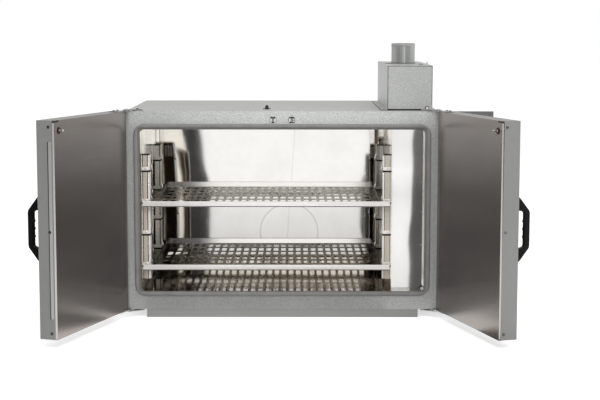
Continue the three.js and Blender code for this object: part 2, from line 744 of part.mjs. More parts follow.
// One bent tubular element that runs round the wheel, with both tails out through the right side
function makeHeater() {
  const x = chamberHalf - heaterMargin / 2;
  const out = bodyHalf + heaterTail;
  const [near, far] = [plenumPanelSetback + heaterMargin, chamberBack - heaterMargin];
  const high = chamberCeiling - heaterMargin;
  const [[tailA, low], [tailB]] = heaterTails;
  const corners = [[out, tailA, low], [x, tailA, low], [x, near, low], [x, near, high], [x, far, high],
    [x, far, low], [x, tailB, low], [out, tailB, low]].map((p) => new THREE.Vector3(...p));
  const path = new THREE.CurvePath();
  let start = corners[0];
  for (let i = 1; i < corners.length - 1; i++) {
    const [before, corner, after] = [corners[i - 1], corners[i], corners[i + 1]];
    const bend = Math.min(heaterBend, before.distanceTo(corner) / 2, corner.distanceTo(after) / 2);
    const entry = corner.clone().add(before.clone().sub(corner).setLength(bend));
    const leave = corner.clone().add(after.clone().sub(corner).setLength(bend));
    path.add(new THREE.LineCurve3(start, entry));
    path.add(new THREE.QuadraticBezierCurve3(entry, corner, leave));
    start = leave;
  }
  path.add(new THREE.LineCurve3(start, corners[corners.length - 1]));
  const section = new THREE.Shape();
  section.absarc(0, 0, heaterRadius, 0, 2 * Math.PI, false);
  return new THREE.ExtrudeGeometry(section, { steps: heaterSteps, extrudePath: path, curveSegments: heaterArcSteps });
}

function makeProbe() {
  const [y, z] = probePlace;
  const tip = chamberHalf - probeReach;
  const end = bodyHalf + heaterTail;
  return revolve([[0, tip], [probeRadius * probeTipShare, tip + probeRadius / 2],
    [probeRadius, tip + 2 * probeRadius], [probeRadius, end], [0, end]], 'x', [0, y, z], smallSides);
}

// Folded cover on the cabinet's right side, open towards the cabinet and towards the control panel
function makeHousing() {
  const [low, high] = [housingBottomRise, housingTop];
  const [front, back] = [housingSetback + seat, housingBack];
  const outside = block([housingLeft, housingRight], [front, back], [low, high]);
  const inside = block([housingLeft - overrun, housingRight - housingSheet], [front - overrun, back - housingSheet],
    [low + housingSheet, high - housingSheet]);
  const vents = [];
  for (let i = 0; i < ventCount; i++) {
    const z = blowerZ + (i - (ventCount - 1) / 2) * ventPitch;
    for (const way of [-1, 1]) {
      const y = blowerY + way * ventLength;
      vents.push(block([housingRight - overrun, housingRight + overrun], [y - ventLength / 2, y + ventLength / 2],
        [z - ventWidth / 2, z + ventWidth / 2]));
    }
  }
  const glandHole = rod(glandRadius, 'y', back - overrun, back + overrun,
    [(housingLeft + housingRight) / 2, 0, low + glandHeight]);
  return cut(outside, inside, ...vents, glandHole);
}

// Control panel and what sits in it, one above the other on a common centre line
const controlX = (housingLeft + housingRight) / 2;
const controlZ = (place) => panelTop - controlTop - place * controlPitch;
const panelBack = panelSetback + controlSheet;

function makeControlPanel() {
  const [low, high] = [panelEdge, panelTop];
  const through = [panelSetback - overrun, panelBack + overrun];
  const plate = block([housingLeft, housingRight], [panelSetback, panelBack], [low, high]);
  const square = (across, up, z) => block([controlX - across, controlX + across], through, [z - up, z + up]);
  const round = (radius, z) => rod(radius + seat, 'y', ...through, [controlX, 0, z], smallSides);
  const half = controllerBody / 2 + seat;
  return cut(plate, square(half, half, controlZ(0)), round(lampBodyRadius, controlZ(1)),
    round(spindleRadius, controlZ(2)),
    square(switchWidth / 2 - switchRim + seat, switchHeight / 2 - switchRim + seat, controlZ(3)));
}

function makeController() {
  const z = controlZ(0);
  const [half, body] = [controllerSize / 2, controllerBody / 2];
  const face = panelSetback - seat;
  const bezel = block([controlX - half, controlX + half], [face - bezelThickness, face], [z - half, z + half]);
  const inner = half - windowInset;
  const recess = block([controlX - inner, controlX + inner],
    [face - bezelThickness - overrun, face - bezelThickness + windowRecess], [z - inner / 2, z + inner]);
  const rear = block([controlX - body, controlX + body], [face - bezelThickness / 2, face + controllerLength],
    [z - body, z + body]);
  return cut(join(bezel, rear), recess);
}

function makeLamp() {
  const face = panelSetback - seat;
  const dome = lampDomeShares.map(([radiusShare, proudShare]) =>
    [radiusShare * lampRadius, face - proudShare * lampProud]);
  const profile = [...dome, [lampBodyRadius, face], [lampBodyRadius, face + lampBody], [0, face + lampBody]];
  return revolve(profile, 'y', [controlX, 0, controlZ(1)], smallSides);
}

function makeKnob() {
  const z = controlZ(2);
  const face = panelSetback - 2 * seat;
  const crown = face - knobHeight;
  const profile = [[0, crown], [knobRadius * knobCrownShare, crown],
    [knobRadius * knobShoulderShare, crown + fluteRadius / 2],
    [knobRadius, face], [spindleRadius, face], [spindleRadius, panelBack + thermostatDepth / 2],
    [0, panelBack + thermostatDepth / 2]];
  const body = revolve(profile, 'y', [controlX, 0, z]);
  const flutes = Array.from({ length: knobFlutes }, (_, i) => {
    const angle = 2 * Math.PI * (i + 0.5) / knobFlutes;
    return rod(fluteRadius, 'y', crown - overrun, face - fluteRadius,
      [controlX + knobRadius * Math.cos(angle), 0, z + knobRadius * Math.sin(angle)], smallSides);
  });
  return cut(body, ...flutes);
}

function makeThermostat() {
  const z = controlZ(2);
  const half = thermostatSize / 2;
  const back = panelBack + seat;
  const body = block([controlX - half, controlX + half], [back, back + thermostatDepth], [z - half, z + half]);
  const bore = rod(spindleRadius + seat, 'y', back - overrun, back + thermostatDepth / 2 + seat,
    [controlX, 0, z], smallSides);
  return cut(body, bore);
}

// The rocker turns on a centre inside the switch, and its ends are arcs about that centre
const rockerRadius = switchHeight / 2 - 2 * switchRim;
const rockerY = panelSetback + switchRim;

function makeSwitchBody() {
  const z = controlZ(3);
  const [across, up] = [switchWidth / 2, switchHeight / 2];
  const face = panelSetback - seat;
  const rim = block([controlX - across, controlX + across], [face - switchRim, face], [z - up, z + up]);
  const body = block([controlX - across + switchRim, controlX + across - switchRim],
    [face - switchRim / 2, face + switchBody], [z - up + switchRim, z + up - switchRim]);
  const well = block([controlX - across + 2 * switchRim, controlX + across - 2 * switchRim],
    [face - switchRim - overrun, rockerY + rockerRadius + 2 * seat],
    [z - rockerRadius - seat, z + rockerRadius + seat]);
  return cut(join(rim, body), well);
}

function makeRocker() {
  const half = switchWidth / 2 - 2 * switchRim - seat;
  const [from, to] = [rockerInnerAngle, rockerOuterAngle].map(THREE.MathUtils.degToRad);
  const end = Array.from({ length: cornerSteps + 1 }, (_, i) => {
    const angle = from + (to - from) * i / cornerSteps;
    return new THREE.Vector2(rockerRadius * Math.cos(angle), rockerRadius * Math.sin(angle));
  });
  const dish = new THREE.Vector2(rockerDish - rockerRadius, 0);
  const other = end.map((point) => new THREE.Vector2(point.x, -point.y)).reverse();
  const piece = extrude(new THREE.Shape([...end, dish, ...other]), 'x', -half, half);
  return piece.rotateX(THREE.MathUtils.degToRad(rockerTravel / 2)).translate(controlX, rockerY, controlZ(3));
}

function makeGland() {
  const y = housingBack;
  const profile = [[glandBore, y - glandLength / 2], [glandRadius - seat, y - glandLength / 2],
    [glandRadius - seat, y + seat], [glandNutRadius, y + seat], [glandNutRadius, y + glandLength / 3],
    [glandRadius, y + glandLength / 2], [glandBore, y + glandLength / 2], [glandBore, y - glandLength / 2]];
  return revolve(profile, 'y', [controlX, 0, housingBottomRise + glandHeight], smallSides);
}

// Exhaust duct on the top panel: a folded box, open below, with a round outlet
function makeDuct() {
  const [front, back] = [ductSetback, ductSetback + ductDepth];
  const foot = cabinetHeight + seat;
  const outside = block([ductLeft, ductRight], [front, back], [foot, ductTop]);
  const inside = block([ductLeft + ductSheet, ductRight - ductSheet], [front + ductSheet, back - ductSheet],
    [foot - overrun, ductTop - ductSheet]);
  const slit = block([ductLeft + ductSheet, ductRight - ductSheet], [front - overrun, front + overrun],
    [foot - overrun, ductBottom]);
  const flange = block([ductLeft - ductFlange, ductLeft + ductSheet], [front, back], [foot, foot + ductSheet]);
  const outlet = rod(flueRadius + seat, 'z', ductTop - overrun, ductTop + overrun, [flueX, flueSetback, 0],
    flueSides);
  const spindle = rod(damperSpindle + seat, 'x', ductRight - overrun, ductRight + overrun,
    [0, flueSetback, damperZ], smallSides);
  return cut(join(outside, flange), inside, slit, outlet, spindle);
}

function makeFlue() {
  const [low, high] = [ductTop - flueDrop, ductTop + flueRise];
  const inner = flueRadius - flueWall;
  const collar = flueRadius + flueCollar;
  const profile = [[inner, low], [flueRadius, low], [flueRadius, ductTop + seat], [collar, ductTop + seat],
    [collar, ductTop + seat + flueWall], [flueRadius, ductTop + seat + flueWall],
    [flueRadius, high - 3 * flueCollar], [flueRadius + flueBead, high - 2 * flueCollar],
    [flueRadius, high - flueCollar], [flueRadius, high], [inner, high], [inner, low]];
  const pipe = revolve(profile, 'z', [flueX, flueSetback, 0], flueSides);
  const cross = rod(damperSpindle + seat, 'x', -flueRadius - overrun, flueRadius + overrun,
    [flueX, flueSetback, damperZ], smallSides);
  return cut(pipe, cross);
}

function makeDamper() {
  const radius = flueRadius - flueWall - damperClearance;
  const centre = [flueX, flueSetback, damperZ];
  const blade = rod(radius, 'y', damperSpindle + seat, damperSpindle + seat + damperThickness, centre);
  add('damper_blade', blade, zincSteel);
  const end = ductRight + damperLeverThickness + damperClearance - flueX;
  const spindle = rod(damperSpindle, 'x', -flueRadius - damperClearance, end, centre, smallSides);
  const half = damperLeverWidth / 2;
  const outline = new THREE.Shape();
  outline.absarc(flueSetback, damperZ, half, Math.PI, 2 * Math.PI, false);
  outline.absarc(flueSetback, damperZ + damperLever, half, 0, Math.PI, false);
  const lever = extrude(outline.closePath(), 'x', ductRight + damperClearance,
    ductRight + damperClearance + damperLeverThickness);
  add('damper_spindle', join(spindle, lever), zincSteel);
}

function makePlug() {
  const low = cabinetHeight - skin;
  const top = cabinetHeight + seat;
  const crown = top + plugHeight;
  const disc = top + plugWasher;
  const profile = [[0, low], [plugStud, low], [plugStud, top], [plugRadius, top], [plugRadius, disc],
    [plugGripRadius, disc], [plugGripRadius, disc + plugNeck], [plugCrownRadius, crown], [0, crown]];
  return revolve(profile, 'z', [shelfMiddle, plugSetback, 0], smallSides);
}

// Catch in the top rail: a square socket, and a sprung roller that drops behind the strike's ball
function makeCatch(way) {
  const x = way * catchOffset;
  const half = catchSize / 2;
  const shell = block([x - half, x + half], [-catchProud, catchDepth], [catchZ - half, catchZ + half]);
  const room = half - catchWall;
  const pocket = block([x - room, x + room], [-catchProud - overrun, catchDepth - catchWall],
    [pocketLow, catchZ + room]);
  return cut(shell, pocket);
}

function makeRoller(way) {
  const reach = catchSize / 2 - catchWall - seat;
  return rod(rollerRadius, 'x', -reach, reach, [way * catchOffset, strikeLength / 2 - gasketProud, rollerZ],
    smallSides);
}

function makeStrike() {
  const face = doorInner + seat;
  const tip = face + strikeLength;
  const middle = tip - strikeBallRadius;
  const start = -Math.acos(strikeNeckRadius / strikeBallRadius);
  const ball = Array.from({ length: cornerSteps }, (_, i) => {
    const angle = start + (Math.PI / 2 - start) * i / cornerSteps;
    return [strikeBallRadius * Math.cos(angle), middle + strikeBallRadius * Math.sin(angle)];
  });
  const profile = [[0, face], [strikeBaseRadius, face], [strikeBaseRadius, face + strikeBaseHeight],
    [strikeNeckRadius, face + strikeBaseHeight], ...ball, [0, tip]];
  return revolve(profile, 'y', [pivotX - catchOffset, 0, strikeZ], smallSides);
}

// Hinge leaves, drawn for the top left corner about the pin's axis and mirrored to the other three
function makeDoorLeaf() {
  const near = doorInner - panelSheet;
  const [start, end] = [pivotOut + seat, pivotOut + seat + doorLeafLength];
  const shape = new THREE.Shape();
  shape.absarc(0, 0, earRadius, 0, Math.PI, false);
  shape.absarc(0, 0, earRadius, Math.PI, Math.PI * 1.25, false);
  shape.lineTo(start, near - doorLeafWidth).lineTo(end, near - doorLeafWidth).lineTo(end, near);
  shape.lineTo(earRadius, near).closePath();
  shape.holes.push(new THREE.Path().absarc(0, 0, pinRadius + seat, 0, 2 * Math.PI, true));
  const low = cabinetHeight + seat;
  return extrude(shape, 'z', low, low + hingeSheet);
}

function makeCabinetLeaf() {
  const low = cabinetHeight + seat;
  const high = low + hingeSheet + seat;
  const top = high + hingeSheet;
  const startX = pivotOut + earRadius;
  const startY = pivotForward + footSetback;
  const foot = block([startX, startX + footWidth], [startY, startY + footDepth], [low, low + hingeSheet]);
  const riser = block([startX, startX + footWidth], [startY, startY + riserDepth], [low, top]);
  const shape = new THREE.Shape();
  shape.absarc(0, 0, earRadius, Math.PI * 0.75, Math.PI * 1.75, false);
  shape.lineTo(startX + footWidth, startY).lineTo(startX + footWidth, startY + riserDepth);
  shape.lineTo(startX, startY + riserDepth).closePath();
  const strap = extrude(shape, 'z', high, top);
  const pin = rod(pinRadius, 'z', low - pinTail, top, [0, 0, 0], smallSides);
  const head = revolve([[0, top - hingeSheet / 2], [pinHeadRadius, top - hingeSheet / 2], [pinHeadRadius, top],
    [pinHeadRadius * pinHeadCrownShare, top + pinHeadHeight * pinHeadRiseShare], [0, top + pinHeadHeight]],
  'z', [0, 0, 0], smallSides);
  return join(foot, riser, strap, pin, head);
}

// Door parts, drawn for the left door shut, with the pin's axis at x = 0 and y = 0
const doorX = [pivotOut, pivotOut + doorWidth];

function makeDoorShell() {
  const rear = doorInner - panelSkirt - seat;
  const face = (shrink, y) => loop(doorX[0] + shrink, doorX[1] - shrink, shrink, cabinetHeight - shrink, 0, y);
  const edge = bendRadius / 2;
  return skinThrough([face(edge, doorOuter), face(0, doorOuter + edge), face(0, rear), face(skin, rear),
    face(skin, doorOuter + skin)]);
}

const makeDoorPanel = () => pan(doorX, [0, cabinetHeight], doorInner, -panelSkirt, panelSheet);

function makeDoorInsulation() {
  const inset = skin + panelSheet + 3 * seat;
  return block([doorX[0] + inset, doorX[1] - inset], [doorOuter + skin + seat, doorInner - panelSheet - seat],
    [inset, cabinetHeight - inset]);
}

// A bridge handle: sloping shoulders outside and a scalloped grip inside
function makeHandle() {
  const [end, gap, grip] = [handleLength / 2, fingerGap / 2, handleGrip / 2];
  const inner = handleStandoff - handleBar;
  const shape = new THREE.Shape();
  shape.moveTo(0, -end);
  shape.lineTo(handleRounding, -end);
  shape.lineTo(handleStandoff - handleRounding, -grip - handleRounding);
  shape.quadraticCurveTo(handleStandoff, -grip, handleStandoff, -grip + handleRounding);
  shape.lineTo(handleStandoff, grip - handleRounding);
  shape.quadraticCurveTo(handleStandoff, grip, handleStandoff - handleRounding, grip + handleRounding);
  shape.lineTo(handleRounding, end);
  shape.lineTo(0, end);
  shape.lineTo(0, gap);
  shape.lineTo(inner - handleCorner, gap);
  shape.quadraticCurveTo(inner, gap, inner, gap - handleCorner);
  const span = 2 * (gap - handleCorner);
  for (let i = 1; i < fingerScallops * scallopSteps; i++) {
    const share = i / (fingerScallops * scallopSteps);
    const ripple = fingerScallop * Math.abs(Math.sin(share * fingerScallops * Math.PI));
    shape.lineTo(inner - fingerScallop + ripple, gap - handleCorner - share * span);
  }
  shape.lineTo(inner, -gap + handleCorner);
  shape.quadraticCurveTo(inner, -gap, inner - handleCorner, -gap);
  shape.lineTo(0, -gap);
  shape.closePath();
  const rounded = { bevelEnabled: true, bevelSize: handleRounding / 2, bevelOffset: -handleRounding / 2,
    bevelThickness: handleRounding / 2, bevelSegments: 1 };
  const far = doorX[1] - handleEdgeOffset - handleRounding / 2;
  const bar = extrude(shape, 'x', far - handleWidth + handleRounding, far, rounded);
  const face = doorOuter - seat;
  return closed(bar.scale(1, -1, 1).translate(0, face, cabinetHeight / 2));
}

function makeSealStrip() {
  const near = doorInner - panelSheet - sealStripInset;
  const strip = rectangle(near - sealStripWidth, near, chamberFloor - sillLip, chamberCeiling + sillLip,
    sealStripWidth / 2 - seat);
  return extrude(strip, 'x', doorX[1] + seat / 2, doorX[1] + seat / 2 + sealStripThickness);
}

// Cabinet
add('base_plinth', makeBase(), hammeredGrey);
add('bottom_pan', makeBottomPan(), hammeredGrey);
add('outer_wrap', makeWrap(), hammeredGrey);
add('back_panel', makeBackPanel(), hammeredGrey);
add('front_frame', makeFrontFrame(), hammeredGrey);
add('insulation_blanket', makeInsulation(), mineralWool);
add('chamber_liner', makeLiner(), mirrorSteel);
add('door_gasket', makeGasket(), silicone);

// Inside the chamber
add('duct_partition', makePartition(), mirrorSteel);
add('plenum_front_panel', makePlenumPanel(), mirrorSteel);
for (const [row, front] of [['front', frontPilasterSetback], ['rear', frontPilasterSetback + pilasterSpacing]]) {
  add(`pilaster_${row}_left`, makePilaster(-chamberHalf, 1, front), shelfSteel);
  add(`pilaster_${row}_right`, makePilaster(plenumLeft, -1, front), shelfSteel);
}
add('lower_shelf', makeShelf(ledges[0]), shelfSteel);
add('upper_shelf', makeShelf(ledges[ledges.length - 2]), shelfSteel);

// Air, heat and control
makeBlower();
add('heater_element', makeHeater(), darkSteel);
add('temperature_probe', makeProbe(), zincSteel);
add('side_housing', makeHousing(), hammeredGrey);
add('control_panel', makeControlPanel(), panelGrey);
add('temperature_controller', makeController(), blackPlastic);
add('pilot_lamp', makeLamp(), redLens);
add('overtemp_knob', makeKnob(), blackPlastic);
add('overtemp_thermostat', makeThermostat(), blackPlastic);
add('power_switch_body', makeSwitchBody(), blackPlastic);
add('power_switch_rocker', makeRocker(), redLens);
add('cable_gland', makeGland(), blackPlastic);

// Exhaust and the plug in the top panel
add('exhaust_duct', makeDuct(), zincSteel);
add('flue_pipe', makeFlue(), zincSteel);
makeDamper();
add('top_port_plug', makePlug(), darkSteel);

// Catches and doors
for (const [side, way] of [['left', -1], ['right', 1]]) {
  add(`catch_${side}`, makeCatch(way), zincSteel);
  add(`catch_roller_${side}`, makeRoller(way), darkSteel);
}
for (const [side, group, turned] of [['left', leftDoor, (g) => g], ['right', rightDoor, mirrorX]]) {
  const leaf = turned(makeDoorLeaf());
  const fixed = turned(makeCabinetLeaf()).translate(Math.sign(group.position.x) * pivotX, -pivotForward, 0);
  add(`door_shell_${side}`, turned(makeDoorShell()), hammeredGrey, group);
  add(`door_inner_panel_${side}`, turned(makeDoorPanel()), brushedSteel, group);
  add(`door_insulation_${side}`, turned(makeDoorInsulation()), mineralWool, group);
  add(`door_handle_${side}`, turned(makeHandle()), blackPlastic, group);
  add(`latch_strike_${side}`, turned(makeStrike()), zincSteel, group);
  add(`door_hinge_leaf_top_${side}`, leaf, zincSteel, group);
  add(`door_hinge_leaf_bottom_${side}`, mirrorZ(leaf, cabinetHeight / 2), zincSteel, group);
  add(`cabinet_hinge_leaf_top_${side}`, fixed, zincSteel);
  add(`cabinet_hinge_leaf_bottom_${side}`, mirrorZ(fixed, cabinetHeight / 2), zincSteel);
}
add('door_seal_strip', makeSealStrip(), zincSteel, leftDoor);

export default oven;
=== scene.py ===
"""Looks for a bench-top drying oven with two doors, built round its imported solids.

Lengths inside this file are millimetres measured from the face frame: x to the right of the middle, y into the
cabinet and z up from the face frame's lower edge. Every mesh is turned into the row's metres as it is made.
"""

import math

import bmesh
import bpy
import numpy as np
from mathutils import Matrix, Vector


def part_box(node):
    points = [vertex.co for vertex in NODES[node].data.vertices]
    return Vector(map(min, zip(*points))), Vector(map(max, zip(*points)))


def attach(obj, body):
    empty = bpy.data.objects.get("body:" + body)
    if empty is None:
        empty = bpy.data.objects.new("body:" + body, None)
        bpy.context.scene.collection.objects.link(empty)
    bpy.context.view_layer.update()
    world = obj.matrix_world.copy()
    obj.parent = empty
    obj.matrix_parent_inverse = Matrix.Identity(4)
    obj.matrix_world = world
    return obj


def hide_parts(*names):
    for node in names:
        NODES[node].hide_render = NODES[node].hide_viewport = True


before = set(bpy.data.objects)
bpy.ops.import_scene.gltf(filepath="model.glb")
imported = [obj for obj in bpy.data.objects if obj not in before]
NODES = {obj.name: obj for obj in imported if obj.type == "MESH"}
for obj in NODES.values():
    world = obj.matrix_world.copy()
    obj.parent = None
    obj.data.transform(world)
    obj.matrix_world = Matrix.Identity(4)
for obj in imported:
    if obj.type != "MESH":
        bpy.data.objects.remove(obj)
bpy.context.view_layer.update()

bl_info = {
    "name": "Bench drying oven",
    "version": (1, 0, 0),
    "blender": (4, 5, 0),
    "location": "3D View > Sidebar > Oven",
    "description": "Dresses the solids of a two-door drying oven and sets its studio",
    "category": "Add Mesh",
}

MM = 0.001


def node_span(name):
    """Lowest and highest corners of a CAD node, in this file's millimetres."""
    low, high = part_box(name)
    shift = np.array([0.0, DEPTH / 2, -BASE])
    return np.array(low) / MM + shift, np.array(high) / MM + shift


DEPTH = round((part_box("back_panel")[1].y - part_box("front_frame")[0].y) / MM, 3)
BASE = round(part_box("front_frame")[0].z / MM, 3)
FRAME_HIGH = node_span("front_frame")[1]
HALF_WIDTH = float(FRAME_HIGH[0])
HEIGHT = float(FRAME_HIGH[2])
PARTITION_LOW, PARTITION_HIGH = node_span("duct_partition")
DUCT_LOW, DUCT_HIGH = node_span("exhaust_duct")
PANEL_LOW, PANEL_HIGH = node_span("control_panel")
STRIKE_Z = sum(corner[2] for corner in node_span("latch_strike_left")) / 2

# The chamber and the duct, from their sheets: the liner's mouth flange and the duct's foot reach further
SEAT = 0.3
DUCT_FOOT = 19.0
LINER_FLOOR = float(PARTITION_LOW[2]) - SEAT
LINER_CEILING = float(PARTITION_HIGH[2]) + SEAT
LINER_BACK = float(PARTITION_HIGH[1]) + SEAT
LINER_LEFT = float(node_span("pilaster_front_left")[0][0]) - SEAT
LINER_RIGHT = float(PARTITION_LOW[0])
DUCT_LEFT = float(DUCT_LOW[0]) + DUCT_FOOT
DUCT_RIGHT = float(DUCT_HIGH[0])


class OvenSizes(bpy.types.PropertyGroup):
    """Sizes of the dressed pieces, in millimetres and degrees."""

    left_opening: bpy.props.FloatProperty(
        name="Left door", description="How far the left door stands open at rest", default=math.radians(108.3),
        subtype="ANGLE", unit="ROTATION")
    right_opening: bpy.props.FloatProperty(
        name="Right door", description="How far the right door stands open at rest", default=math.radians(106.3),
        subtype="ANGLE", unit="ROTATION")
    pin_out: bpy.props.FloatProperty(
        name="Pin outside", description="Distance of the hinge pins outside the cabinet's sides", default=6.0)
    pin_forward: bpy.props.FloatProperty(
        name="Pin forward", description="Distance of the hinge pins in front of the face frame", default=7.0)
    door_width: bpy.props.FloatProperty(name="Door width", description="Width of one door", default=474.5)
    door_thickness: bpy.props.FloatProperty(
        name="Door thickness", description="Thickness of one door without its handle", default=56.5)
    door_inner: bpy.props.FloatProperty(
        name="Door seat", description="Place of a door's inner face from its pin, positive towards the cabinet",
        default=1.7)
    slot_pitch: bpy.props.FloatProperty(
        name="Slot pitch", description="Pitch of the shelf perforation across the shelf", default=25.4)
    slot_width: bpy.props.FloatProperty(
        name="Slot width", description="Width of one shelf perforation", default=16.4)
    slot_rows: bpy.props.IntProperty(
        name="Slot rows", description="Rows of shelf perforation from front to back", default=6)
    row_pitch: bpy.props.FloatProperty(
        name="Row pitch", description="Distance between two rows of shelf perforation", default=91.0)
    shelf_web: bpy.props.FloatProperty(
        name="Shelf web", description="Solid band between two rows of perforation", default=21.0)
    shelf_sheet: bpy.props.FloatProperty(name="Shelf sheet", description="Thickness of a shelf's sheet", default=1.5)
    runner_reach: bpy.props.FloatProperty(
        name="Runner reach", description="How far a shelf's runner stands out of its side", default=23.0)
    runner_rise: bpy.props.FloatProperty(
        name="Runner rise", description="Height of a shelf's runner over its plate's underside", default=8.0)
    nose_roll: bpy.props.FloatProperty(
        name="Nose roll", description="Radius of the rounds at the top and bottom of a shelf's nose", default=2.6)
    lowest_ledge: bpy.props.FloatProperty(
        name="Lowest ledge", description="Height of the lowest ledge over the chamber floor", default=70.0)
    shelf_pitch: bpy.props.FloatProperty(name="Shelf pitch", description="Height between two ledges", default=100.5)
    back_bulge: bpy.props.FloatProperty(
        name="Back bulge", description="How far the back wall's thin sheet stands forward in its middle", default=5.2)
    back_lean: bpy.props.FloatProperty(
        name="Back lean", description="Slope with which the back wall's mirror looks upwards", default=0.085)
    bulge_ramp: bpy.props.FloatProperty(
        name="Bulge ramp", description="Width over which the back wall's sheet rises at the left", default=124.0)
    handle_length: bpy.props.FloatProperty(name="Handle length", description="Length of a handle", default=188.0)
    handle_width: bpy.props.FloatProperty(name="Handle width", description="Width of a handle", default=17.5)
    handle_reach: bpy.props.FloatProperty(
        name="Handle reach", description="How far a handle stands off its door", default=45.0)
    handle_bar: bpy.props.FloatProperty(name="Handle bar", description="Thickness of a handle's bar", default=15.0)
    handle_gap: bpy.props.FloatProperty(name="Handle gap", description="Height of a handle's opening", default=109.0)
    handle_grip: bpy.props.FloatProperty(
        name="Handle grip", description="Height of a handle's straight outer side", default=104.0)
    handle_corner: bpy.props.FloatProperty(
        name="Handle corner", description="Radius of the corners of a handle's opening", default=9.5)
    handle_edge: bpy.props.FloatProperty(
        name="Handle inset", description="Distance of a handle from its door's free edge", default=24.5)
    bump_pitch: bpy.props.FloatProperty(name="Bump pitch", description="Spacing of the finger bumps", default=22.5)
    bump_height: bpy.props.FloatProperty(name="Bump height", description="Height of the finger bumps", default=2.2)
    flue_radius: bpy.props.FloatProperty(name="Flue radius", description="Outer radius of the flue pipe", default=38.2)


class OvenColours(bpy.types.PropertyGroup):
    """Colours of the finishes, as they look in plain light."""

    sheet: bpy.props.FloatVectorProperty(
        name="Coated sheet", description="Zinc-coated sheet of cabinet and exhaust duct", subtype="COLOR", size=3,
        default=(0.50, 0.51, 0.50))
    paint: bpy.props.FloatVectorProperty(
        name="Door paint", description="Smooth grey paint of the doors and the base", subtype="COLOR", size=3,
        default=(0.209, 0.209, 0.204))
    panel: bpy.props.FloatVectorProperty(
        name="Control panel", description="Satin enamel of the control panel", subtype="COLOR", size=3,
        default=(0.12, 0.125, 0.125))
    bright_steel: bpy.props.FloatVectorProperty(
        name="Chamber steel", description="Bright sheet of the chamber", subtype="COLOR", size=3,
        default=(0.95, 0.935, 0.90))
    rack_steel: bpy.props.FloatVectorProperty(
        name="Rack steel", description="Sheet of the shelves and pilasters", subtype="COLOR", size=3,
        default=(0.74, 0.70, 0.64))
    brushed_steel: bpy.props.FloatVectorProperty(
        name="Door steel", description="Brushed sheet inside the doors", subtype="COLOR", size=3,
        default=(0.37, 0.335, 0.31))
    zinc: bpy.props.FloatVectorProperty(
        name="Zinc", description="Zinc-plated sheet and fasteners", subtype="COLOR", size=3,
        default=(0.62, 0.63, 0.63))
    gasket: bpy.props.FloatVectorProperty(
        name="Gasket", description="Silicone rubber of the door gasket", subtype="COLOR", size=3,
        default=(0.195, 0.194, 0.188))
    plastic: bpy.props.FloatVectorProperty(
        name="Plastic", description="Moulded plastic of handles and knobs", subtype="COLOR", size=3,
        default=(0.012, 0.012, 0.013))
    lens: bpy.props.FloatVectorProperty(
        name="Lens", description="Lamp lens and switch rocker", subtype="COLOR", size=3,
        default=(0.42, 0.02, 0.015))


class StageSettings(bpy.types.PropertyGroup):
    """Camera and light of the studio."""

    lens: bpy.props.FloatProperty(
        name="Lens", description="Focal length on a 36 mm wide sensor", default=88.0277, unit="CAMERA")
    camera: bpy.props.FloatVectorProperty(
        name="Camera", description="The camera's place in the row's frame", size=3, subtype="TRANSLATION",
        unit="LENGTH", default=(0.036479, -4.869790, 0.911149))
    turn: bpy.props.FloatVectorProperty(
        name="Turn", description="The camera's pitch below level, its turn to the right and its roll", size=3,
        subtype="EULER", default=(0.118303, 0.004059, -0.001199))
    fill: bpy.props.FloatProperty(name="Fill", description="Strength of the even light all round", default=0.62)
    glow: bpy.props.FloatProperty(
        name="Floor glow", description="How much the floor's white is lifted for camera and gloss", default=0.56)
    flag_dark: bpy.props.FloatProperty(
        name="Dark flag", description="Brightness of the dark flags that only the bright steel sees", default=0.045)
    flag_grey: bpy.props.FloatProperty(
        name="Grey flag", description="Brightness of the grey flag at the right", default=0.16)
    sky: bpy.props.FloatProperty(
        name="Sky", description="Brightness of the grey sheet behind the oven that its top mirrors", default=0.64)
    room: bpy.props.FloatProperty(
        name="Room", description="Brightness of the studio's sides in the gloss", default=0.10)


def sizes():
    return bpy.context.scene.oven_sizes


def colours():
    return bpy.context.scene.oven_colours


def studio():
    return bpy.context.scene.oven_stage


# Meshes


def to_row(points):
    """Moves points from this file's millimetres to the row's metres."""
    return (np.asarray(points, float) + np.array([0.0, -DEPTH / 2, BASE])) * MM


def swung(points, side):
    """Places points drawn on a shut left door, from its pin, on the open left or right door.

    x runs from the pin along the door and y from the pin into the cabinet. The point turns about the pin by the
    door's opening, and the right door is the left one's mirror image.
    """
    s = sizes()
    angle = -(s.left_opening if side == "left" else s.right_opening)
    points = np.asarray(points, float)
    x = points[..., 0] * math.cos(angle) - points[..., 1] * math.sin(angle) - HALF_WIDTH - s.pin_out
    y = points[..., 0] * math.sin(angle) + points[..., 1] * math.cos(angle) - s.pin_forward
    return np.stack([x if side == "left" else -x, y, points[..., 2]], -1)


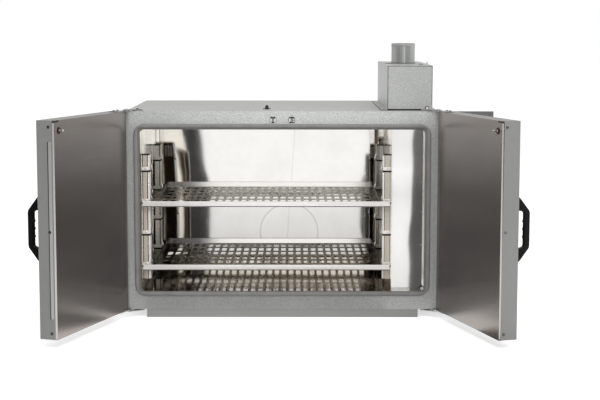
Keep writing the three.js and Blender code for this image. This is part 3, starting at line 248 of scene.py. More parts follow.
class Piece:
    """Gathers grids of points into one mesh."""

    def __init__(self):
        self.points = []
        self.faces = []
        self.count = 0

    def grid(self, points, wrap_rows=False, wrap_columns=False, capped=False):
        """Adds a grid of points, rows by columns, as quads; it may close on itself and have flat ends."""
        points = np.asarray(points, float)
        rows, columns = points.shape[:2]
        i = np.arange(rows if wrap_rows else rows - 1)[:, None] * columns
        below = (np.arange(rows if wrap_rows else rows - 1)[:, None] + 1) % rows * columns
        j = np.arange(columns if wrap_columns else columns - 1)[None, :]
        beside = (j + 1) % columns
        quads = np.stack([i + j, i + beside, below + beside, below + j], -1).reshape(-1, 4) + self.count
        self.faces += quads.tolist()
        if capped:
            first = self.count + np.arange(columns)
            self.faces.append(first[::-1].tolist())
            self.faces.append((first + (rows - 1) * columns).tolist())
        self.points.append(points.reshape(-1, 3))
        self.count += rows * columns
        return self

    def slab(self, low, high, place=None):
        """Adds a box between two corners, moved by place if it is given."""
        corners = np.array([[x, y, z] for x in (low[0], high[0]) for y in (low[1], high[1])
                            for z in (low[2], high[2])], float)
        ring = corners[[0, 1, 3, 2, 4, 5, 7, 6]].reshape(2, 4, 3)
        return self.grid(ring if place is None else place(ring), wrap_columns=True, capped=True)

    def finish(self, name, body, slot, material, stands_for=(), smooth=35.0, bevel=0.0, segments=2):
        """Makes the object: in place, riding on its body, with its material and the nodes that it stands for."""
        mesh = bpy.data.meshes.new(name)
        mesh.from_pydata(to_row(np.concatenate(self.points)).tolist(), [], self.faces)
        work = bmesh.new()
        work.from_mesh(mesh)
        bmesh.ops.remove_doubles(work, verts=work.verts, dist=2e-6)
        bmesh.ops.recalc_face_normals(work, faces=work.faces)
        work.to_mesh(mesh)
        work.free()
        mesh.shade_smooth()
        mesh.set_sharp_from_angle(angle=math.radians(smooth))
        mesh.materials.append(material)
        piece = bpy.data.objects.new(name, mesh)
        bpy.context.scene.collection.objects.link(piece)
        if bevel:
            edge = piece.modifiers.new("edge", "BEVEL")
            edge.width = bevel * MM
            edge.segments = segments
            edge.limit_method = "ANGLE"
            edge.angle_limit = math.radians(50)
        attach(piece, body)
        if stands_for:
            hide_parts(*stands_for)
        return piece


def turned(profile, axis, centre, sides=32):
    """A profile of (radius, height) pairs carried round an axis: radius times cos and sin, and height along it."""
    profile = np.asarray(profile, float)
    angle = np.linspace(0, 2 * np.pi, sides, endpoint=False)
    radius, height = profile[:, 0, None], profile[:, 1, None] + 0 * angle
    across, up = radius * np.cos(angle), radius * np.sin(angle)
    order = {"x": (height, across, up), "y": (across, height, up), "z": (across, up, height)}[axis]
    return np.stack(order, -1) + np.asarray(centre, float)


def screw_head(centre, out, radius, height=None, sides=20):
    """A pan head with a cross recess, as a height field over a disc.

    The height is a dome, 1 minus the fourth power of the radius, less a pit where either arm of the cross is near.
    out is the direction that the head faces.
    """
    height = radius * 0.5 if height is None else height
    out = Vector(out).normalized()
    side = out.orthogonal().normalized()
    up = out.cross(side)
    share = np.array([0.0, 0.16, 0.34, 0.52, 0.72, 0.88, 0.97, 1.0])[:, None]
    angle = np.linspace(0, 2 * np.pi, sides, endpoint=False)[None, :]
    x, y = share * np.cos(angle), share * np.sin(angle)
    arm = np.minimum(np.abs(x), np.abs(y))
    pit = np.clip((0.15 - arm) / 0.07, 0, 1) * np.clip((0.6 - share) / 0.1, 0, 1)
    rise = height * ((1 - share ** 4) * 0.72 + 0.28) - pit * height * 0.75
    rise = np.where(share >= 1.0, 0.0, rise)
    rise = np.broadcast_to(rise, x.shape)
    flat = x[..., None] * np.array(side) + y[..., None] * np.array(up)
    return np.asarray(centre, float) + radius * flat + rise[..., None] * np.array(out)


# Finishes


def wire(tree, node, sockets):
    """Sets a node's sockets, each to a plain value or by a link from another node's output."""
    for key, value in sockets.items():
        if isinstance(value, bpy.types.NodeSocket):
            tree.links.new(value, node.inputs[key])
        else:
            node.inputs[key].default_value = value


def put(tree, kind, settings=None, sockets=None):
    """Adds a shader node with its settings; a socket's value is a plain value or another node's output."""
    made = tree.nodes.new(kind)
    for key, value in (settings or {}).items():
        setattr(made, key, value)
    wire(tree, made, sockets or {})
    return made


def ramp(tree, value, stops):
    """A colour ramp through (place, grey or colour) stops."""
    made = put(tree, "ShaderNodeValToRGB", None, {"Fac": value})
    elements = made.color_ramp.elements
    while len(elements) < len(stops):
        elements.new(0.5)
    for element, (place, colour) in zip(elements, stops):
        element.position = place
        element.color = (*(colour if isinstance(colour, tuple) else (colour,) * 3), 1.0)
    return made.outputs["Color"]


def mixed(tree, factor, first, second, blend="MIX"):
    made = put(tree, "ShaderNodeMix", {"data_type": "RGBA", "blend_type": blend},
               {0: factor, 6: first, 7: second})
    return made.outputs[2]


def scaled(tree, value, low, high):
    """Spreads a 0 to 1 value over low to high."""
    return put(tree, "ShaderNodeMapRange", None, {"Value": value, "To Min": low, "To Max": high}).outputs["Result"]


def spread(tree, value, start, end, low=0.0, high=1.0):
    """Carries start to end over to low to high, and holds what lies outside."""
    sockets = {"Value": value, "From Min": start, "From Max": end, "To Min": low, "To Max": high}
    return put(tree, "ShaderNodeMapRange", {"clamp": True}, sockets).outputs["Result"]


def computed(tree, operation, *values):
    return put(tree, "ShaderNodeMath", {"operation": operation}, dict(enumerate(values))).outputs[0]


def times(tree, first, second):
    return computed(tree, "MULTIPLY", first, second)


def shaded(tree, base, shade):
    return mixed(tree, 1.0, base, shade, "MULTIPLY")


def height_of(tree, place):
    return put(tree, "ShaderNodeSeparateXYZ", None, {"Vector": place}).outputs["Z"]


def new_group(name, inputs, outputs):
    """A shader node group with named value and vector sockets."""
    group = bpy.data.node_groups.new(name, "ShaderNodeTree")
    for label, kind, default in inputs:
        socket = group.interface.new_socket(label, in_out="INPUT", socket_type=kind)
        if default is not None:
            socket.default_value = default
    for label, kind in outputs:
        group.interface.new_socket(label, in_out="OUTPUT", socket_type=kind)
    return group, group.nodes.new("NodeGroupInput"), group.nodes.new("NodeGroupOutput")


def speckle_group():
    """Fine flecks and a pebbled height, from a noise and a cell pattern."""
    group, entry, leave = new_group(
        "enamel_speckle", [("Coordinates", "NodeSocketVector", None), ("Grain", "NodeSocketFloat", 260.0)],
        [("Fleck", "NodeSocketFloat"), ("Height", "NodeSocketFloat")])
    vector, grain = entry.outputs["Coordinates"], entry.outputs["Grain"]
    coarse = noise(group, vector, grain, 3.0, 0.7)
    cells = put(group, "ShaderNodeTexVoronoi", {"feature": "SMOOTH_F1"}, {"Vector": vector,
                "Scale": times(group, grain, 1.8), "Smoothness": 0.6})
    group.links.new(spread(group, coarse, 0.34, 0.66), leave.inputs["Fleck"])
    group.links.new(cells.outputs["Distance"], leave.inputs["Height"])
    return group


def brushed_group():
    """Long fine lines along the coordinates' x, from noise stretched forty times."""
    group, entry, leave = new_group(
        "brushed_lines", [("Coordinates", "NodeSocketVector", None), ("Lines", "NodeSocketFloat", 900.0)],
        [("Line", "NodeSocketFloat"), ("Smear", "NodeSocketFloat")])
    vector = entry.outputs["Coordinates"]
    thin = put(group, "ShaderNodeVectorMath", {"operation": "MULTIPLY"}, {0: vector, 1: (0.025, 1.0, 1.0)})
    line = put(group, "ShaderNodeTexNoise", None, {"Vector": thin.outputs[0], "Scale": entry.outputs["Lines"],
                                                  "Detail": 4.0, "Roughness": 0.65})
    broad = put(group, "ShaderNodeVectorMath", {"operation": "MULTIPLY"}, {0: vector, 1: (0.3, 1.0, 1.0)})
    smear = put(group, "ShaderNodeTexNoise", None, {"Vector": broad.outputs[0], "Scale": 9.0, "Detail": 3.0})
    group.links.new(line.outputs["Fac"], leave.inputs["Line"])
    group.links.new(smear.outputs["Fac"], leave.inputs["Smear"])
    return group


def dust_group():
    """A mask of settled dust: how far a face looks up, broken by noise."""
    group, entry, leave = new_group("settled_dust", [("Amount", "NodeSocketFloat", 0.3)],
                                    [("Mask", "NodeSocketFloat")])
    place = put(group, "ShaderNodeTexCoord")
    normal = put(group, "ShaderNodeNewGeometry")
    facing = spread(group, height_of(group, normal.outputs["Normal"]), 0.2, 0.95)
    broken = times(group, facing, noise(group, place.outputs["Object"], 14.0, 6.0, 0.6))
    group.links.new(times(group, broken, entry.outputs["Amount"]), leave.inputs["Mask"])
    return group


GROUPS = {}


def grouped(tree, name, sockets):
    makers = {"enamel_speckle": speckle_group, "brushed_lines": brushed_group, "settled_dust": dust_group}
    if name not in GROUPS:
        GROUPS[name] = makers[name]()
    made = tree.nodes.new("ShaderNodeGroup")
    made.node_tree = GROUPS[name]
    wire(tree, made, sockets)
    return made.outputs


def material(name, **constants):
    """A material with one Principled BSDF whose plain values are set on its own sockets."""
    made = bpy.data.materials.new(name)
    made.use_nodes = True
    tree = made.node_tree
    shader = tree.nodes["Principled BSDF"]
    for key, value in constants.items():
        shader.inputs[key.replace("_", " ").title().replace("Ior", "IOR")].default_value = value
    return made, tree, shader


def object_place(tree, turn=None):
    place = put(tree, "ShaderNodeTexCoord").outputs["Object"]
    if turn is None:
        return place
    return put(tree, "ShaderNodeMapping", None, {"Vector": place, "Rotation": turn}).outputs["Vector"]


def noise(tree, place, scale, detail=4.0, roughness=0.55):
    return put(tree, "ShaderNodeTexNoise", None, {"Vector": place, "Scale": scale, "Detail": detail,
                                                 "Roughness": roughness}).outputs["Fac"]


def bump(tree, shader, height, strength, distance):
    made = put(tree, "ShaderNodeBump", None, {"Height": height, "Strength": strength, "Distance": distance})
    tree.links.new(made.outputs["Normal"], shader.inputs["Normal"])


def dusted(tree, colour, amount, tint=(0.42, 0.40, 0.36, 1.0)):
    return mixed(tree, grouped(tree, "settled_dust", {"Amount": amount})["Mask"], colour, tint)


def coated(name, colour, metal=0.5, roughness=0.40, contrast=0.22, painted_shade_stops=()):
    """Zinc-coated sheet: light and dark flecks, a soft pebbled height, faint blotches and dust.

    painted_shade_stops gives (height, shade) stops of painted shade, darker lower down, heights as shares of a metre.
    """
    made, tree, shader = material(name, metallic=metal)
    place = object_place(tree)
    flecks = grouped(tree, "enamel_speckle", {"Coordinates": place, "Grain": 330.0})
    base = mixed(tree, flecks["Fleck"], (*(c * (1 - contrast) for c in colour), 1),
                 (*(min(1, c * (1 + contrast)) for c in colour), 1))
    wear = ramp(tree, noise(tree, place, 5.0, 5.0), [(0.3, 0.93), (0.7, 1.0)])
    base = shaded(tree, base, wear)
    # Painted shade: the colour is darkened by height, following the painted_shade_stops.
    if painted_shade_stops:
        base = shaded(tree, base, ramp(tree, height_of(tree, place), painted_shade_stops))
    tree.links.new(dusted(tree, base, 0.25), shader.inputs["Base Color"])
    tree.links.new(scaled(tree, flecks["Fleck"], roughness - 0.08, roughness + 0.1), shader.inputs["Roughness"])
    bump(tree, shader, flecks["Height"], 0.15, 0.0003)
    return made


def paint(name, colour, roughness=0.45):
    """Smooth paint on sheet steel: faint orange peel, slow blotches, rubbed gloss and dust."""
    made, tree, shader = material(name, coat_weight=0.12, coat_roughness=0.3)
    place = object_place(tree)
    blotch = noise(tree, place, 4.0, 6.0)
    base = mixed(tree, blotch, (*(c * 0.93 for c in colour), 1.0), (*(c * 1.07 for c in colour), 1.0))
    tree.links.new(dusted(tree, base, 0.15), shader.inputs["Base Color"])
    tree.links.new(scaled(tree, noise(tree, place, 18.0, 5.0), roughness * 0.85, roughness * 1.15),
                   shader.inputs["Roughness"])
    bump(tree, shader, noise(tree, place, 620.0, 2.0), 0.10, 0.0002)
    return made


def leaning(tree, place, base, height, lean, wave):
    """Shades and slopes a sheet that mirrors what is above it, and gives its colour and its bump's height.

    The bump's height falls evenly with the height of the place, and above 0.4 m less and less, by the square of
    what is left. The colour carries painted shade, darker towards the sheet's foot, and painted reflection: a faint
    dark ring and a dark line, where the place's distance from a circle or a line is small.
    """
    painted_ring_centre, painted_ring_radius, painted_line_slope, painted_line_shift = (0.0185, 0.0, 0.184), 0.102, -0.07, -0.001
    parts = put(tree, "ShaderNodeSeparateXYZ", None, {"Vector": place})
    across, up = parts.outputs["X"], parts.outputs["Z"]
    # Painted shade: the colour darkens towards the sheet's foot.
    base = shaded(tree, base, ramp(tree, up, [(0.16, 0.70), (0.28, 0.86), (0.37, 1.0)]))
    flat = put(tree, "ShaderNodeCombineXYZ", None, {"X": across, "Z": up}).outputs[0]
    away = put(tree, "ShaderNodeVectorMath", {"operation": "DISTANCE"}, {0: flat, 1: painted_ring_centre})
    ring = computed(tree, "SUBTRACT", away.outputs["Value"], painted_ring_radius)
    painted_line = computed(tree, "ADD", computed(tree, "MULTIPLY_ADD", up, painted_line_slope, across), painted_line_shift)
    # Painted reflection: a dark ring and a dark line in the colour.
    for mark, depth in ((ring, 0.80), (painted_line, 0.90)):
        base = shaded(tree, base, spread(tree, computed(tree, "ABSOLUTE", mark), 0.0006, 0.0045, depth))
    height = computed(tree, "MULTIPLY_ADD", up, -lean / wave, height)
    over = spread(tree, up, 0.4, 0.6)
    return base, computed(tree, "MULTIPLY_ADD", times(tree, over, over), 0.0058 / wave, height)


def bright_sheet(name, colour, roughness, wave=0.012, tint=0.0, lean=0.0, edge=1.0, painted_shade_stops=()):
    """Bright sheet metal: slow waves in the reflection, wiped smears, and heat tint where tint is set.

    A sheet with a lean is finished by leaning(). edge dims what is seen along it, and painted_shade_stops gives
    (height, shade) stops of painted shade, darker lower down.
    """
    made, tree, shader = material(name, metallic=1.0, specular_tint=(edge, edge, edge, 1.0))
    place = object_place(tree)
    smear = noise(tree, place, 11.0, 6.0, 0.62)
    warm = (colour[0] * 0.86, colour[1] * 0.72, colour[2] * 0.52, 1.0)
    heat = ramp(tree, noise(tree, place, 3.2, 3.0), [(0.35, 0.0), (0.75, tint)])
    base = shaded(tree, mixed(tree, heat, (*colour, 1.0), warm), ramp(tree, smear, [(0.25, 0.93), (0.6, 1.0)]))
    tree.links.new(scaled(tree, smear, roughness * 0.7, roughness * 1.35), shader.inputs["Roughness"])
    height = noise(tree, place, 4.2, 1.0, 0.4)
    # Painted shade: the colour is darkened by height, following the painted_shade_stops.
    if painted_shade_stops:
        base = shaded(tree, base, ramp(tree, height_of(tree, place), painted_shade_stops))
    if lean:
        base, height = leaning(tree, place, base, height, lean, wave)
    tree.links.new(base, shader.inputs["Base Color"])
    bump(tree, shader, height, 1.0, wave)
    return made


def brushed_sheet(name, colour, roughness, turn):
    """Brushed sheet metal: fine lines along the sheet's width, broad smears and a slightly streaked gloss."""
    made, tree, shader = material(name, metallic=1.0, anisotropic=0.0)
    place = object_place(tree, turn)
    lines = grouped(tree, "brushed_lines", {"Coordinates": place, "Lines": 760.0})
    base = mixed(tree, lines["Line"], (*(c * 0.82 for c in colour), 1.0), (*(min(1, c * 1.18) for c in colour), 1.0))
    base = shaded(tree, base, ramp(tree, lines["Smear"], [(0.3, 0.86), (0.65, 1.0)]))
    tree.links.new(base, shader.inputs["Base Color"])
    tree.links.new(scaled(tree, lines["Smear"], roughness * 0.8, roughness * 1.25), shader.inputs["Roughness"])
    bump(tree, shader, lines["Line"], 0.12, 0.0002)
    return made


def plated(name, colour, roughness=0.36):
    """Plated sheet: crystal patches of slightly different brightness under a dull film."""
    made, tree, shader = material(name, metallic=1.0)
    place = object_place(tree)
    patches = put(tree, "ShaderNodeTexVoronoi", None, {"Vector": place, "Scale": 120.0}).outputs["Color"]
    shade = ramp(tree, patches, [(0.0, 0.86), (1.0, 1.0)])
    base = shaded(tree, (*colour, 1.0), shade)
    film = noise(tree, place, 26.0, 5.0)
    tree.links.new(dusted(tree, base, 0.2), shader.inputs["Base Color"])
    tree.links.new(scaled(tree, film, roughness * 0.75, roughness * 1.3), shader.inputs["Roughness"])
    bump(tree, shader, noise(tree, place, 420.0, 2.0), 0.08, 0.0002)
    return made


def moulded(name, colour, roughness=0.42, grain=900.0, dust=0.18):
    """Moulded plastic or rubber: fine spark-eroded grain, faint rubbed patches and dust on what faces up."""
    made, tree, shader = material(name)
    place = object_place(tree)
    rubbed = noise(tree, place, 34.0, 5.0)
    base = mixed(tree, rubbed, (*(c * 0.8 for c in colour), 1.0), (*(min(1, c * 1.3 + 0.002) for c in colour), 1.0))
    tree.links.new(dusted(tree, base, dust), shader.inputs["Base Color"])
    tree.links.new(scaled(tree, rubbed, roughness * 0.8, roughness * 1.2), shader.inputs["Roughness"])
    bump(tree, shader, noise(tree, place, grain, 2.0), 0.15, 0.0003)
    return made


def ribbed(name, colour, gloss):
    """Moulded plastic with fine slanting ribs: a sine of the place across the ribs gives their bump and a painted
    shade and highlight in their colour, and a fine grain.
    """
    made, tree, shader = material(name, specular_ior_level=gloss)
    place = object_place(tree, (math.radians(40), 0, 0))
    ribs = put(tree, "ShaderNodeTexWave", {"bands_direction": "Z"},
               {"Vector": place, "Scale": 95.0, "Distortion": 0.3})
    # Painted shade and highlight: the colour is darker in the ribs' troughs and lighter on their crests.
    base = mixed(tree, ribs.outputs["Fac"], (*(c * 0.6 for c in colour), 1.0),
                 (*(c * 1.8 + 0.003 for c in colour), 1.0))
    tree.links.new(dusted(tree, base, 0.12), shader.inputs["Base Color"])
    tree.links.new(scaled(tree, noise(tree, place, 34.0, 5.0), 0.4, 0.6), shader.inputs["Roughness"])
    bump(tree, shader, ribs.outputs["Fac"], 0.4, 0.0006)
    return made


def wool():
    """Mineral wool: matted fibres from a stretched noise."""
    made, tree, shader = material("insulation_wool", roughness=0.95)
    place = object_place(tree)
    fibre = noise(tree, put(tree, "ShaderNodeMapping", None, {"Vector": place, "Scale": (1.0, 1.0, 6.0)}).outputs[0],
                  120.0, 8.0, 0.7)
    tree.links.new(ramp(tree, fibre, [(0.25, (0.28, 0.22, 0.09)), (0.75, (0.66, 0.57, 0.33))]),
                   shader.inputs["Base Color"])
    bump(tree, shader, fibre, 0.7, 0.003)
    return made


FINISHES = {}


def finish(name):
    """The named finish, made once."""
    if name not in FINISHES:
        c, s = colours(), sizes()
        makers = {
            "sheet": lambda: coated("coated_sheet", c.sheet),
            # Painted light: the face frame is the coated sheet made 1.15 times lighter, with painted shade below its
            # top band.
            "face": lambda: coated("face_frame_sheet", tuple(1.15 * part for part in c.sheet), 0.5, 0.38, 0.28, (
                (0.10, 0.74), (0.20, 0.72), (0.58, 0.73), (0.63, 1.0))),
            # Painted light: the base takes the doors' paint made 1.36 times lighter.
            "base": lambda: paint("base_paint", tuple(1.36 * part for part in c.paint)),
            # Painted shade: the plenum panel is darker below 0.46 m.
            "plenum": lambda: bright_sheet("plenum_steel", (0.82, 0.81, 0.79), 0.06, 0.0012,
                                           painted_shade_stops=((0.385, 0.70), (0.46, 1.0))),
            "paint": lambda: paint("door_paint", c.paint),
            "panel": lambda: paint("panel_paint", c.panel, 0.5),
            "chamber": lambda: bright_sheet("chamber_steel", c.bright_steel, 0.06, 0.003),
            "back": lambda: bright_sheet("back_wall_steel", c.bright_steel, 0.06, 0.003, lean=s.back_lean),
            "rack": lambda: bright_sheet("rack_steel", c.rack_steel, 0.16, 0.003, 0.5),
            "door_left": lambda: brushed_sheet("door_steel_left", c.brushed_steel, 0.24, (0, 0, s.left_opening)),
            "door_right": lambda: brushed_sheet("door_steel_right", c.brushed_steel, 0.24, (0, 0, -s.right_opening)),
            "side": lambda: bright_sheet("side_wall_steel", (0.90, 0.82, 0.71), 0.12, 0.003),
            "floor": lambda: bright_sheet("chamber_floor_steel", (1.0, 0.92, 0.80), 0.07, 0.002),
            "shelf": lambda: bright_sheet("shelf_plate", (0.48, 0.44, 0.385), 0.26, 0.002, 0.5, edge=0.55),
            "nose": lambda: coated("shelf_nose", (0.88, 0.85, 0.82), 0.45, 0.34, 0.05),
            "rim": lambda: bright_sheet("shelf_rim", (0.95, 0.92, 0.88), 0.14, 0.0015),
            "satin": lambda: coated("satin_steel", (0.92, 0.89, 0.85), 0.30, 0.30, 0.05),
            # Painted shade: a dark copy of the steel, for the floor cove and the front pilasters' backs.
            "foot": lambda: coated("painted_shade_steel", (0.16, 0.135, 0.11), 0.6, 0.34, 0.25),
            # Painted shade: a dark finish for the pilasters' grooves and slots and for the duct's shadow strips.
            "hollow": lambda: plated("painted_shade_hollow", (0.035, 0.03, 0.027), 0.5),
            # Painted shade on the rear pilasters' backs, and the latch flanges' own dark colour.
            "umber": lambda: plated("flange_and_painted_shade", (0.10, 0.06, 0.045), 0.5),
            # Painted highlight: a finish lighter than the sheet it is folded from, for the door panels' hems and the
            # flue's seam.
            "hem": lambda: coated("hem_painted_highlight", (0.60, 0.585, 0.56), 0.5, 0.38, 0.06),
            "lip": lambda: moulded("mouth_rubber", (0.14, 0.135, 0.125), 0.6, 500.0, 0.1),
            "tan": lambda: coated("pilaster_hem", (0.58, 0.525, 0.45), 0.25, 0.34, 0.08),
            "strip": lambda: coated("strip_zinc", (0.40, 0.405, 0.39), 0.4, 0.42, 0.08),
            "screw": lambda: plated("fastener_steel", (0.30, 0.30, 0.30), 0.34),
            "bright_screw": lambda: plated("bright_fastener", (0.78, 0.78, 0.77), 0.25),
            "flue": lambda: coated("flue_steel", (0.38, 0.39, 0.38), 0.6, 0.38, 0.10),
            # Painted shade: both handles are one plastic; the left copy is made half as bright and less glossy than
            # the right.
            "ribbed_left": lambda: ribbed("ribbed_plastic_shaded_left", tuple(0.3 * part for part in c.plastic), 0.04),
            "ribbed_right": lambda: ribbed("ribbed_plastic_right", tuple(0.6 * part for part in c.plastic), 0.08),
            "zinc": lambda: plated("zinc_plate", c.zinc),
            "dark": lambda: plated("dark_steel", (0.07, 0.07, 0.075), 0.45),
            "sheath": lambda: plated("heater_sheath", (0.13, 0.10, 0.08), 0.6),
            "gasket": lambda: moulded("silicone_rubber", c.gasket, 0.7, 500.0, 0.25),
            "plastic": lambda: moulded("black_plastic", c.plastic),
            "lens": lambda: moulded("red_lens", c.lens, 0.16, 300.0, 0.05),
            "wool": wool,
        }
        FINISHES[name] = makers[name]()
    return FINISHES[name]


NODE_FINISHES = {
    "sheet": ("bottom_pan", "outer_wrap", "back_panel", "side_housing", "exhaust_duct"),
    "face": ("front_frame",),
    "base": ("base_plinth",),
    "paint": ("door_shell_left", "door_shell_right"),
    "panel": ("control_panel",),
    "chamber": ("chamber_liner",),
    "plenum": ("plenum_front_panel",),
    "side": ("duct_partition",),
    "rack": ("pilaster_front_left", "pilaster_front_right", "pilaster_rear_left", "pilaster_rear_right",
             "upper_shelf", "lower_shelf"),
    "door_left": ("door_inner_panel_left",),
    "door_right": ("door_inner_panel_right",),
    "flue": ("flue_pipe",),
    "zinc": ("blower_wheel", "motor_bracket", "temperature_probe", "damper_blade", "damper_spindle",
             "catch_left", "catch_right", "latch_strike_left", "latch_strike_right", "door_seal_strip",
             "door_hinge_leaf_top_left", "door_hinge_leaf_bottom_left", "door_hinge_leaf_top_right",
             "door_hinge_leaf_bottom_right", "cabinet_hinge_leaf_top_left", "cabinet_hinge_leaf_bottom_left",
             "cabinet_hinge_leaf_top_right", "cabinet_hinge_leaf_bottom_right"),
    "bright_screw": ("catch_roller_left", "catch_roller_right"),
    "dark": ("blower_motor", "blower_shaft", "top_port_plug"),
    "sheath": ("heater_element",),
    "gasket": ("door_gasket",),
    "plastic": ("temperature_controller", "overtemp_knob", "overtemp_thermostat", "power_switch_body",
                "cable_gland", "door_handle_left", "door_handle_right"),
    "lens": ("pilot_lamp", "power_switch_rocker"),
    "wool": ("insulation_blanket", "door_insulation_left", "door_insulation_right"),
}


class OVEN_OT_finishes(bpy.types.Operator):
    """Gives every solid its finish"""

    bl_idname = "oven.finishes"
    bl_label = "Finishes"

    def execute(self, context):
        left = set(NODES)
        for name, nodes in NODE_FINISHES.items():
            for node in nodes:
                for slot in NODES[node].material_slots:
                    slot.material = finish(name)
                left.discard(node)
        if left:
            raise RuntimeError(f"no finish is given for {sorted(left)}")
        return {"FINISHED"}


def along(low, high, count):
    """Places evenly spread from low to high."""
    return np.linspace(low, high, count)


def ease(share):
    """A half cosine from 0 to 1."""
    return 0.5 - 0.5 * np.cos(np.pi * np.clip(share, 0, 1))


def offset_outline(points, shrink):
    """A closed outline moved inwards by shrink, each point along the mean of its two edges' normals."""
    points = np.asarray(points, float)
    before, after = np.roll(points, 1, 0), np.roll(points, -1, 0)
    edge_in, edge_out = points - before, after - points
    normals = [np.stack([edge[:, 1], -edge[:, 0]], -1) / np.linalg.norm(edge, axis=1)[:, None]
               for edge in (edge_in, edge_out)]
    mean = normals[0] + normals[1]
    mean /= np.maximum((mean * mean).sum(1)[:, None] / 2, 0.6)
    area = (points[:, 0] * after[:, 1] - after[:, 0] * points[:, 1]).sum()
    return points - math.copysign(1.0, area) * shrink * mean


class OVEN_OT_shelves(bpy.types.Operator):
    """Makes both perforated shelves with their runners, back rims and rolled noses, with a dark strip of painted
    reflection under each nose
    """

    bl_idname = "oven.shelves"
    bl_label = "Shelves"

    def execute(self, context):
        for name in ("upper_shelf", "lower_shelf"):
            self.shelf(name)
        return {"FINISHED"}

    def shelf(self, name):
        s = sizes()
        low, high = node_span(name)
        sheet, proud = s.shelf_sheet, s.runner_reach
        left, right = low[0] + proud, high[0] - proud
        front, back, floor = low[1], high[1], low[2]
        runner = floor + s.runner_rise
        piece = Piece()
        self.plate(piece, left, right, front + 2.0, back - 2.0, floor, sheet)
        for tip, edge, inside in ((low[0], left, left + sheet), (high[0], right, right - sheet)):
            section = np.array([[inside, floor], [edge, floor], [edge, runner], [tip, runner],
                                [tip, runner + sheet], [inside, runner + sheet]])
            ring = np.array([[[x, y, z] for x, z in section] for y in (front + 1.0, back - 1.0)])
            piece.grid(ring, wrap_columns=True, capped=True)
        piece.finish(f"{name}_plate", name, "rack_steel", finish("shelf"))
        self.rolled(f"{name}_nose", name, (low[0], high[0]), front + s.nose_roll, floor, high[2], s.nose_roll)
        rim = Piece()
        section = ((back - 5.2, floor + 0.2), (back, floor + 0.2), (back, high[2]), (back - 2.8, high[2]))
        rim.grid(np.array([[[x, y, z] for y, z in section] for x in (left + 4.0, right - 4.0)]), wrap_columns=True,
                 capped=True)
        rim.finish(f"{name}_rim", name, "rack_steel", finish("rim"), stands_for=(name,), bevel=0.5)
        # Painted reflection: a dark strip along the foot of the nose.
        hem = Piece()
        hem.slab((low[0] + 0.5, front - 0.1, floor + 0.6), (high[0] - 0.5, front + 0.2, floor + 2.6))
        hem.finish(f"{name}_hem", name, "dark_steel", finish("dark"))

    def rolled(self, name, body, span, y, low, high, radius):
        """The nose: a strip with a full round at its top and bottom, each point the strip's half plus the round."""
        turn = along(0, np.pi, 9)
        top = np.stack([y + radius * np.cos(turn), high - radius + radius * np.sin(turn)], -1)
        base = np.stack([y - radius * np.cos(turn), low + radius - radius * np.sin(turn)], -1)
        ring = np.concatenate([top, base])
        rows = np.array([[[x, a, b] for a, b in ring] for x in span])
        Piece().grid(rows, wrap_columns=True, capped=True).finish(name, body, "rack_steel", finish("nose"))

    def plate(self, piece, left, right, front, back, low, sheet):
        """A sheet with round-cornered slots: in each cell the sheet runs from the cell's edge to the slot's edge.

        Both edges are read at the same directions from the cell's middle. The cell's is a rectangle and the slot's
        a superellipse, the sum of the sixth powers of its two shares being one.
        """
        s = sizes()
        columns = math.floor(right / s.slot_pitch - 0.5) - math.ceil(left / s.slot_pitch + 0.5) + 1
        start = s.slot_pitch * (math.ceil(left / s.slot_pitch + 0.5) - 0.5)
        depth, first = s.row_pitch, s.row_pitch / 2
        half = np.array([s.slot_pitch / 2, depth / 2])
        hole = np.array([s.slot_width / 2, (depth - s.shelf_web) / 2])
        corner = math.atan2(half[1], half[0])
        inner = math.atan2(hole[1], hole[0])
        angle = np.unique(np.round(np.concatenate([
            np.array([k * np.pi + way * a for k in (0, 1) for way in (-1, 1) for a in (corner, inner, inner * 0.93)]),
            np.arange(8) * np.pi / 4]) % (2 * np.pi), 6))
        way = np.stack([np.cos(angle), np.sin(angle)], -1)
        edge = way / np.maximum(np.abs(way[:, :1]) / half[0], np.abs(way[:, 1:]) / half[1])
        slot = way / ((np.abs(way[:, :1]) / hole[0]) ** 8 + (np.abs(way[:, 1:]) / hole[1]) ** 8) ** 0.125
        for i in range(columns):
            for j in range(s.slot_rows):
                middle = np.array([start + (i + 0.5) * s.slot_pitch, first + (j + 0.5) * depth])
                rings = [(edge, low), (slot, low), (slot, low + sheet), (edge, low + sheet)]
                rows = np.array([np.column_stack([ring + middle, np.full(len(ring), z)]) for ring, z in rings])
                piece.grid(rows, wrap_columns=True)
        end, last = start + columns * s.slot_pitch, first + s.slot_rows * depth
        for x0, x1 in ((left, start), (end, right)):
            piece.slab((x0, front, low), (x1, back, low + sheet))
        for y0, y1 in ((front, first), (last, back)):
            piece.slab((start, y0, low), (end, y1, low + sheet))


